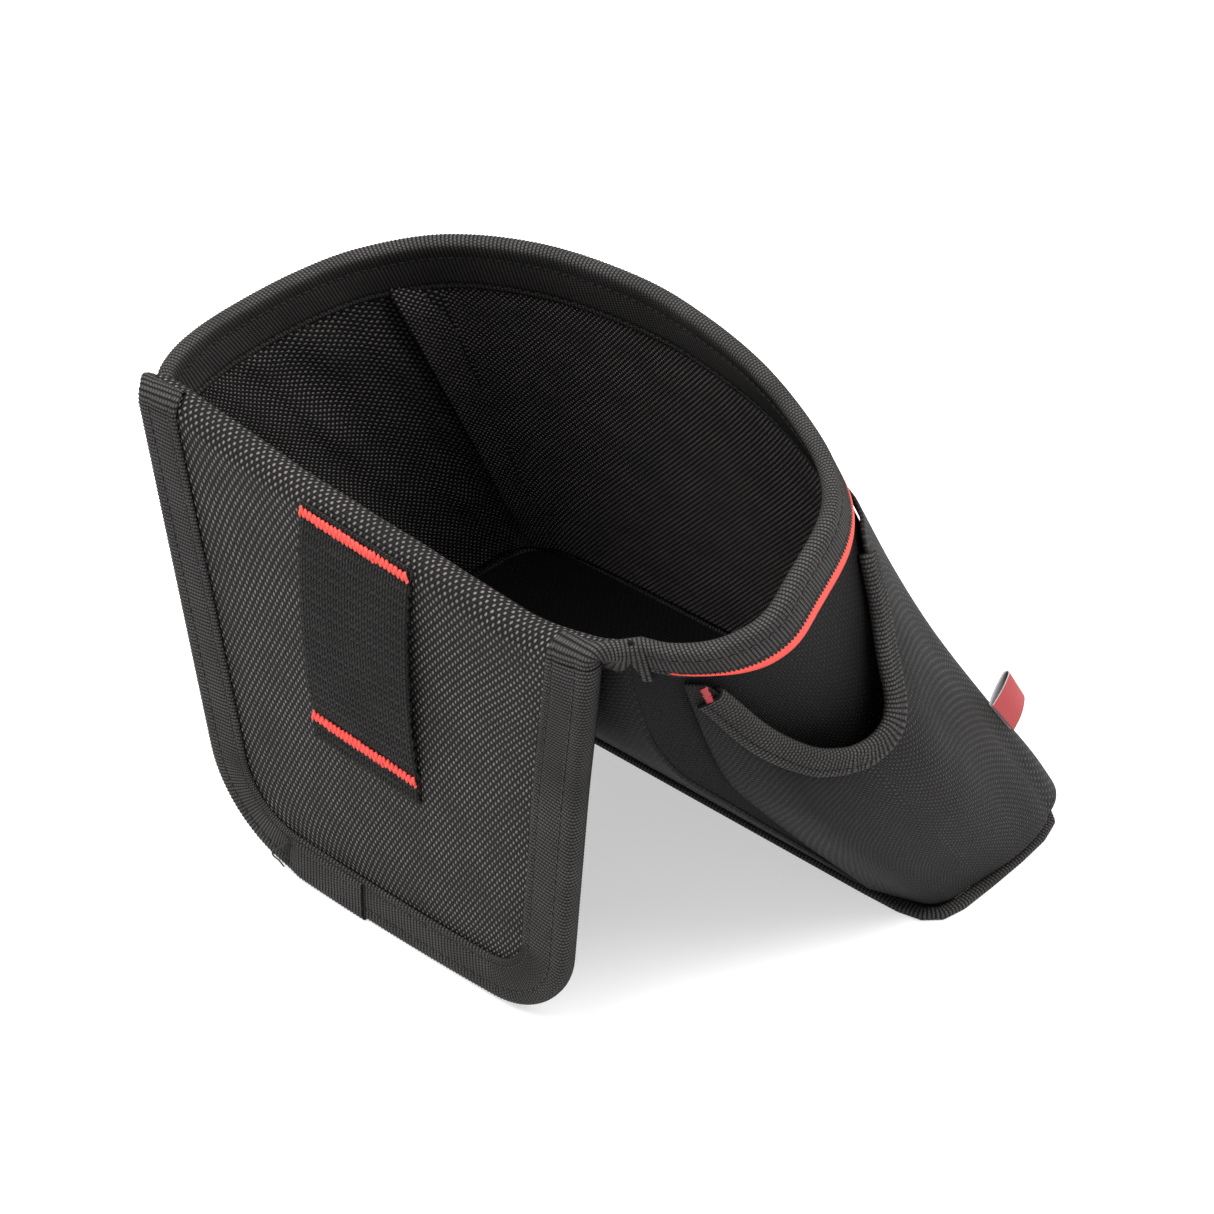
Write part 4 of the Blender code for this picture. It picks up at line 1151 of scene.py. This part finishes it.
class POUCH_OT_red_piping(bpy.types.Operator):
    """The red tape that shows under the mouth binding"""

    bl_idname = "pouch.red_piping"
    bl_label = "Red piping"

    def execute(self, context):
        u_at, length = rim_share(0.75, LAST - 0.75)

        def shape(s, t):
            u = u_at(t)
            edge = np.minimum(u, LAST - u)
            shown = ramp(edge, ((0.75, -0.3), (2.6, 1.0)))
            d = RIM_BINDING - 1.5 + (1.5 + PIPING * shown + 0.4) * s
            v = d / wall_length(u)
            bulge = (GAP + 0.35 + 0.75 * np.sin(math.pi * np.clip(s * 1.15, 0, 1)))
            return wall(u, v) + wall_normal(u, v) * bulge[:, None]

        def cloth(s, t):
            return np.stack((t * length, s * (PIPING + 1.9)), axis=1)

        bm = bent_grid(10, 900, shape, cloth)
        bm.normal_update()
        bm.faces.ensure_lookup_table()
        middle = bm.faces[len(bm.faces) // 2]
        out = middle.calc_center_median() - Vector(placed(np.array([0.0, 60.0, 140.0])))
        if middle.normal.dot(out) < 0:
            bmesh.ops.reverse_faces(bm, faces=bm.faces)
        obj = made_piece("red_piping_tape", bm, "red_tape")
        thicken = obj.modifiers.new("thickness", "SOLIDIFY")
        thicken.thickness = 0.5 * MM
        thicken.offset = -1.0
        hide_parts("red_piping")
        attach(obj, "pouch")
        return {"FINISHED"}


class POUCH_OT_bottom(bpy.types.Operator):
    """The bound seam round the bottom"""

    bl_idname = "pouch.bottom"
    bl_label = "Bottom seam"

    def execute(self, context):
        outline = np.array(BOTTOM_OUTLINE + BOTTOM_OUTLINE[:1])
        run = lengths(outline)
        ring = np.array([(1.2, 0.6), (0.6, 0.05), (-0.8, 0.0), (-2.2, 0.05), (-2.65, 0.6),
                         (-2.65, 1.7), (-2.2, 2.2), (-0.8, 2.3), (0.6, 2.2), (1.2, 1.7),
                         (1.2, 0.6)])
        ribs = round(run[-1] / context.scene.pouch.rib_pitch)

        def shape(s, t):
            at = t * run[-1]
            point, ahead, behind = (
                np.stack([np.interp((at + step) % run[-1], run, outline[:, k]) for k in (0, 1)],
                         axis=1) for step in (0.0, 2.0, -2.0))
            way = unit(ahead - behind)
            out = np.stack((way[:, 1], -way[:, 0]), axis=1)
            section = spline(ring, s * (len(ring) - 1))
            rib = 0.10 * (np.abs(np.sin(math.pi * t * ribs)) - 0.5) * (section[:, 0] > -2.0)
            reach = section[:, 0] + rib
            flat = point + out * reach[:, None]
            level = np.maximum(section[:, 1] + rib * (section[:, 1] > 1.0), 0.0)
            return np.stack((flat[:, 0], flat[:, 1], level), axis=1)

        def cloth(s, t):
            return np.stack((t * run[-1], s * 12.0), axis=1)

        bm = bent_grid(20, ribs * 3, shape, cloth)
        obj = made_piece("bottom_seam_tape", closed(bm), "grosgrain_tape")
        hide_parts("bottom_seam_binding")
        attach(obj, "pouch")
        return {"FINISHED"}


# ---------------------------------------------------------------- side pocket
class POUCH_OT_side_pocket(bpy.types.Operator):
    """The puffed pocket on the near side"""

    bl_idname = "pouch.side_pocket"
    bl_label = "Side pocket"

    def execute(self, context):
        def shape(a, t):
            v = scoop(a) + t * (HEM - scoop(a))
            normal = pocket_normal(a, v)
            inner = ramp(a, ((0.1, 0.0), (0.3, 1.0), (0.8, 1.0), (0.95, 0.0)))
            low = ramp(t, ((0.12, 0.0), (0.45, 1.0), (0.85, 1.0), (1.0, 0.0)))
            dent = 0.5 * inner * low * wave(a * 6.0 + v * 3.0, v * 6.0, 1.5)
            return pocket(a, v) + normal * (CLOTH + dent - 0.2 * inner * low)[:, None]

        obj = cloth_piece("side_pocket_cloth", (150, 120), shape,
                          pocket_normal(np.array([0.5]), np.array([0.7]))[0], CLOTH,
                          "pocket_nylon")
        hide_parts("side_pocket_shell")
        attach(obj, "pouch")
        return {"FINISHED"}


A_TABLE = np.linspace(0.085, 0.77, 300)
SCOOP_LINE = pocket(A_TABLE, scoop(A_TABLE))
SCOOP_RUN = lengths(SCOOP_LINE)


def scoop_frame(s, d):
    """Points on the pocket's outside, d in from its scooped mouth."""
    a = np.interp(s * SCOOP_RUN[-1], SCOOP_RUN, A_TABLE)
    v = scoop(a)
    run = pocket(a + 0.004, scoop(a + 0.004)) - pocket(a - 0.004, scoop(a - 0.004))
    into = unit(np.cross(run, pocket_normal(a, v)))
    along = (pocket(a + 0.01, v) - pocket(a - 0.01, v)) / 0.02
    down = (pocket(a, v + 0.01) - pocket(a, v - 0.01)) / 0.02
    aa, ad, dd = (along * along).sum(1), (along * down).sum(1), (down * down).sum(1)
    into_along, into_down = (into * along).sum(1), (into * down).sum(1)
    area = aa * dd - ad * ad
    step_a = (into_along * dd - into_down * ad) / area
    step_v = (into_down * aa - into_along * ad) / area
    at_a, at_v = a + step_a * (d - 0.3), v + step_v * (d - 0.3)
    normals = pocket_normal(at_a, at_v)
    return pocket(at_a, at_v) + normals * CLOTH, normals, -into


class POUCH_OT_pocket_binding(bpy.types.Operator):
    """The tape folded over the pocket's scooped mouth"""

    bl_idname = "pouch.pocket_binding"
    bl_label = "Pocket binding"

    def execute(self, context):
        obj = tape_piece("pocket_mouth_tape", SCOOP_RUN[-1], scoop_frame, POCKET_BINDING,
                         CLOTH + 0.3)
        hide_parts("side_pocket_binding")
        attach(obj, "pouch")
        return {"FINISHED"}


class POUCH_OT_pocket_bartack(bpy.types.Operator):
    """The small red bartack at the rear end of the pocket's mouth"""

    bl_idname = "pouch.pocket_bartack"
    bl_label = "Pocket bartack"

    def execute(self, context):
        ends = []
        for v in (0.102, 0.172):
            at = (np.array([0.055]), np.array([v]))
            ends.append(pocket(*at)[0] + pocket_normal(*at)[0] * (CLOTH + 0.5))
        normal = pocket_normal(np.array([0.055]), np.array([0.135]))[0]
        across = unit(np.cross(ends[1] - ends[0], normal))
        points = zigzag(ends[0], ends[1], across, normal, 1.1, 1.9)
        obj = made_piece("pocket_bartack_thread", thread_bmesh(points, normal, 0.36),
                         "pink_thread")
        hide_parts("pocket_corner_bartack")
        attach(obj, "pouch")
        return {"FINISHED"}


class POUCH_OT_label_tag(bpy.types.Operator):
    """The folded woven tag in the pocket's front corner, left blank"""

    bl_idname = "pouch.label_tag"
    bl_label = "Label tag"

    def execute(self, context):
        a = np.array([0.88])
        low, high = (pocket(a, np.array([v]))[0]
                     + pocket_normal(a, np.array([v]))[0] * (CLOTH + 0.1)
                     for v in (0.80, 0.68))
        out = np.array([-0.3, 0.7, 0.65])
        seam = unit(high - low)
        out = unit(out - seam * (out @ seam))
        side = np.cross(out, seam)
        middle = (low + high) / 2
        loop = np.array([(0.0, 0.35), (2.0, 0.75), (5.0, 1.15), (8.0, 1.1), (10.3, 0.75),
                         (11.1, 0.0), (10.3, -0.7), (8.0, -0.8), (5.0, -0.8), (2.0, -0.6),
                         (0.0, -0.35)])

        def shape(s, t):
            at = spline(loop, t * (len(loop) - 1))
            curl = 0.9 * (at[:, 0] / 11.0) ** 2 * (2 * s - 1)
            along = 13.6 * (s - 0.5) * (1 - 0.02 * at[:, 0] / 11.0)
            return (middle + seam * along[:, None] + out * at[:, :1]
                    + side * (at[:, 1] + curl)[:, None])

        obj = cloth_piece("blank_label", (20, 60), shape, side, 0.35,
                          ("label_face", "label_inside"))
        bpy.context.view_layer.update()
        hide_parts("label_tag")
        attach(obj, "label")
        return {"FINISHED"}


# ---------------------------------------------------------------- stitching
def stitch_row(name, length, place_on, d, height, body, pitch=2.9):
    """Sewing thread lying in short stitches along a tape."""
    count = round(length / pitch)
    s = (np.arange(count) + 0.5) / count
    step = 0.3 * pitch / length
    depth = np.full(count, d)
    points, normals, _ = place_on(s, depth)
    ahead, _, _ = place_on(np.clip(s + step, 0, 1), depth)
    behind, _, _ = place_on(np.clip(s - step, 0, 1), depth)
    bm = bmesh.new()
    layer = bm.loops.layers.uv.new("cloth")
    for point, normal, run in zip(points + normals * height, normals, ahead - behind):
        run = run / np.linalg.norm(run)
        side = np.cross(normal, run)
        turn = Matrix((run * 1.15, side * 0.26, normal * 0.2)).transposed()
        centre = Vector(placed(point))
        bmesh.ops.create_icosphere(bm, subdivisions=1, radius=MM,
                                   matrix=Matrix.Translation(centre) @ turn.to_4x4())
    for face in bm.faces:
        for loop in face.loops:
            loop[layer].uv = loop.vert.co.xy * 1000.0
    obj = made_piece(name, bm, "black_thread")
    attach(obj, body)


class POUCH_OT_stitching(bpy.types.Operator):
    """Rows of black thread along the tapes"""

    bl_idname = "pouch.stitching"
    bl_label = "Stitching"

    def execute(self, context):
        top = GAP + TAPE
        stitch_row("flap_inner_stitches", FLAP_RUN[-1], flap_frame, FLAP_BINDING - 2.2,
                   top - 0.12, "flap")
        stitch_row("flap_outer_stitches", FLAP_RUN[-1], flap_frame, FLAP_BINDING * 0.26,
                   top, "flap")
        u_at, length = rim_share(RIM_START, LAST - RIM_START)

        def outside(s, d):
            return rim_frame(u_at(s), d)

        def inside(s, d):
            points, normals, away = rim_frame(u_at(s), d)
            return points - normals * RIM_DEPTH, -normals, away

        for name, place_on, leg in (("rim_outside", outside, RIM_BINDING),
                                    ("rim_inside", inside, RIM_INNER)):
            stitch_row(name + "_lower_stitches", length, place_on, leg - 2.2, top - 0.12,
                       "pouch")
            stitch_row(name + "_upper_stitches", length, place_on, leg * 0.26, top, "pouch")
        stitch_row("pocket_mouth_stitches", SCOOP_RUN[-1], scoop_frame, POCKET_BINDING - 2.2,
                   top - 0.12, "pouch")
        return {"FINISHED"}


class POUCH_OT_kept_panels(bpy.types.Operator):
    """Finishes of the flat panels that need no new shape"""

    bl_idname = "pouch.kept_panels"
    bl_label = "Flat panels"

    def execute(self, context):
        # The bottom panel takes the darkest nylon copy, painted shade.
        for node, look in (("back_stiffener_board", "stiffener_board"),
                           ("bottom_panel", "painted_shade_base_nylon")):
            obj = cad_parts[node]
            obj.data.materials.clear()
            obj.data.materials.append(bpy.data.materials[look])
        return {"FINISHED"}


# ---------------------------------------------------------------- stage
class POUCH_OT_stage(bpy.types.Operator):
    """The pale floor, the soft lights and the camera"""

    bl_idname = "pouch.stage"
    bl_label = "Stage"

    def execute(self, context):
        scene = context.scene
        settings = scene.pouch
        bm = bmesh.new()
        bmesh.ops.create_grid(bm, x_segments=4, y_segments=4, size=6.0)
        mesh = bpy.data.meshes.new("floor")
        bm.to_mesh(mesh)
        bm.free()
        floor = bpy.data.objects.new("floor", mesh)
        scene.collection.objects.link(floor)
        look = bpy.data.materials.new("pale_floor")
        look.use_nodes = True
        shader = look.node_tree.nodes["Principled BSDF"]
        shader.inputs["Base Color"].default_value = (0.55, 0.55, 0.55, 1.0)
        shader.inputs["Emission Color"].default_value = (1.0, 1.0, 1.0, 1.0)
        shader.inputs["Emission Strength"].default_value = 0.5
        shader.inputs["Roughness"].default_value = 0.8
        shader.inputs["Specular IOR Level"].default_value = 0.1
        mesh.materials.append(look)

        world = bpy.data.worlds.new("white_room")
        world.use_nodes = True
        surround = world.node_tree.nodes["Background"]
        surround.inputs["Color"].default_value = (1.0, 1.0, 1.0, 1.0)
        surround.inputs["Strength"].default_value = settings.sky
        scene.world = world
        for name, at, size, power in (("key_light", (-0.25, -0.45, 0.95), 0.7, settings.key),
                                      ("top_light", (0.45, 0.25, 1.0), 0.8, settings.key)):
            light = bpy.data.lights.new(name, "AREA")
            light.size = size
            light.energy = power
            lamp = bpy.data.objects.new(name, light)
            lamp.location = at
            lamp.rotation_euler = (-Vector(at)).to_track_quat("-Z", "Y").to_euler()
            scene.collection.objects.link(lamp)

        azimuth, elevation = math.radians(CAMERA_AZIMUTH), math.radians(CAMERA_ELEVATION)
        back = np.array([math.sin(azimuth) * math.cos(elevation),
                         -math.cos(azimuth) * math.cos(elevation), math.sin(elevation)])
        right = np.array([math.cos(azimuth), math.sin(azimuth), 0.0])
        up = np.cross(back, right)
        centre = (CAMERA_TARGET + back * CAMERA_DISTANCE + right * CAMERA_SLIDE[0]
                  + up * CAMERA_SLIDE[1])
        data = bpy.data.cameras.new("camera")
        data.sensor_width = CAMERA_SENSOR
        data.lens = CAMERA_LENS
        data.clip_start = 0.05
        camera = bpy.data.objects.new("camera", data)
        turn = Matrix((right, up, back)).transposed().to_4x4()
        camera.matrix_world = Matrix.Translation(Vector(placed(centre))) @ turn
        scene.collection.objects.link(camera)
        scene.camera = camera
        scene.view_settings.view_transform = "Standard"
        return {"FINISHED"}


class POUCH_PT_panel(bpy.types.Panel):
    """Lists the pouch's settings and pieces"""

    bl_idname = "POUCH_PT_panel"
    bl_label = "Tool pouch"
    bl_space_type = "VIEW_3D"
    bl_region_type = "UI"
    bl_category = "Tool pouch"

    def draw(self, context):
        column = self.layout.column(align=True)
        for name in PouchSettings.__annotations__:
            column.prop(context.scene.pouch, name)
        for step in STEPS:
            column.operator(step.bl_idname)


STEPS = (POUCH_OT_finishes, POUCH_OT_fold_cloth, POUCH_OT_flap_layers, POUCH_OT_flap_binding,
         POUCH_OT_belt_loop, POUCH_OT_loop_bartacks, POUCH_OT_thread_tail, POUCH_OT_walls,
         POUCH_OT_linings, POUCH_OT_mouth_binding, POUCH_OT_fold_corners, POUCH_OT_red_piping,
         POUCH_OT_bottom, POUCH_OT_side_pocket, POUCH_OT_pocket_binding,
         POUCH_OT_pocket_bartack, POUCH_OT_label_tag, POUCH_OT_stitching,
         POUCH_OT_kept_panels, POUCH_OT_stage)


def register():
    for kind in (PouchSettings, *STEPS, POUCH_PT_panel):
        bpy.utils.register_class(kind)
    bpy.types.Scene.pouch = bpy.props.PointerProperty(type=PouchSettings)


def unregister():
    del bpy.types.Scene.pouch
    for kind in reversed((PouchSettings, *STEPS, POUCH_PT_panel)):
        bpy.utils.unregister_class(kind)


def main():
    register()
    for step in STEPS:
        group, name = step.bl_idname.split(".")
        getattr(getattr(bpy.ops, group), name)()


if __name__ == "__main__":
    main()
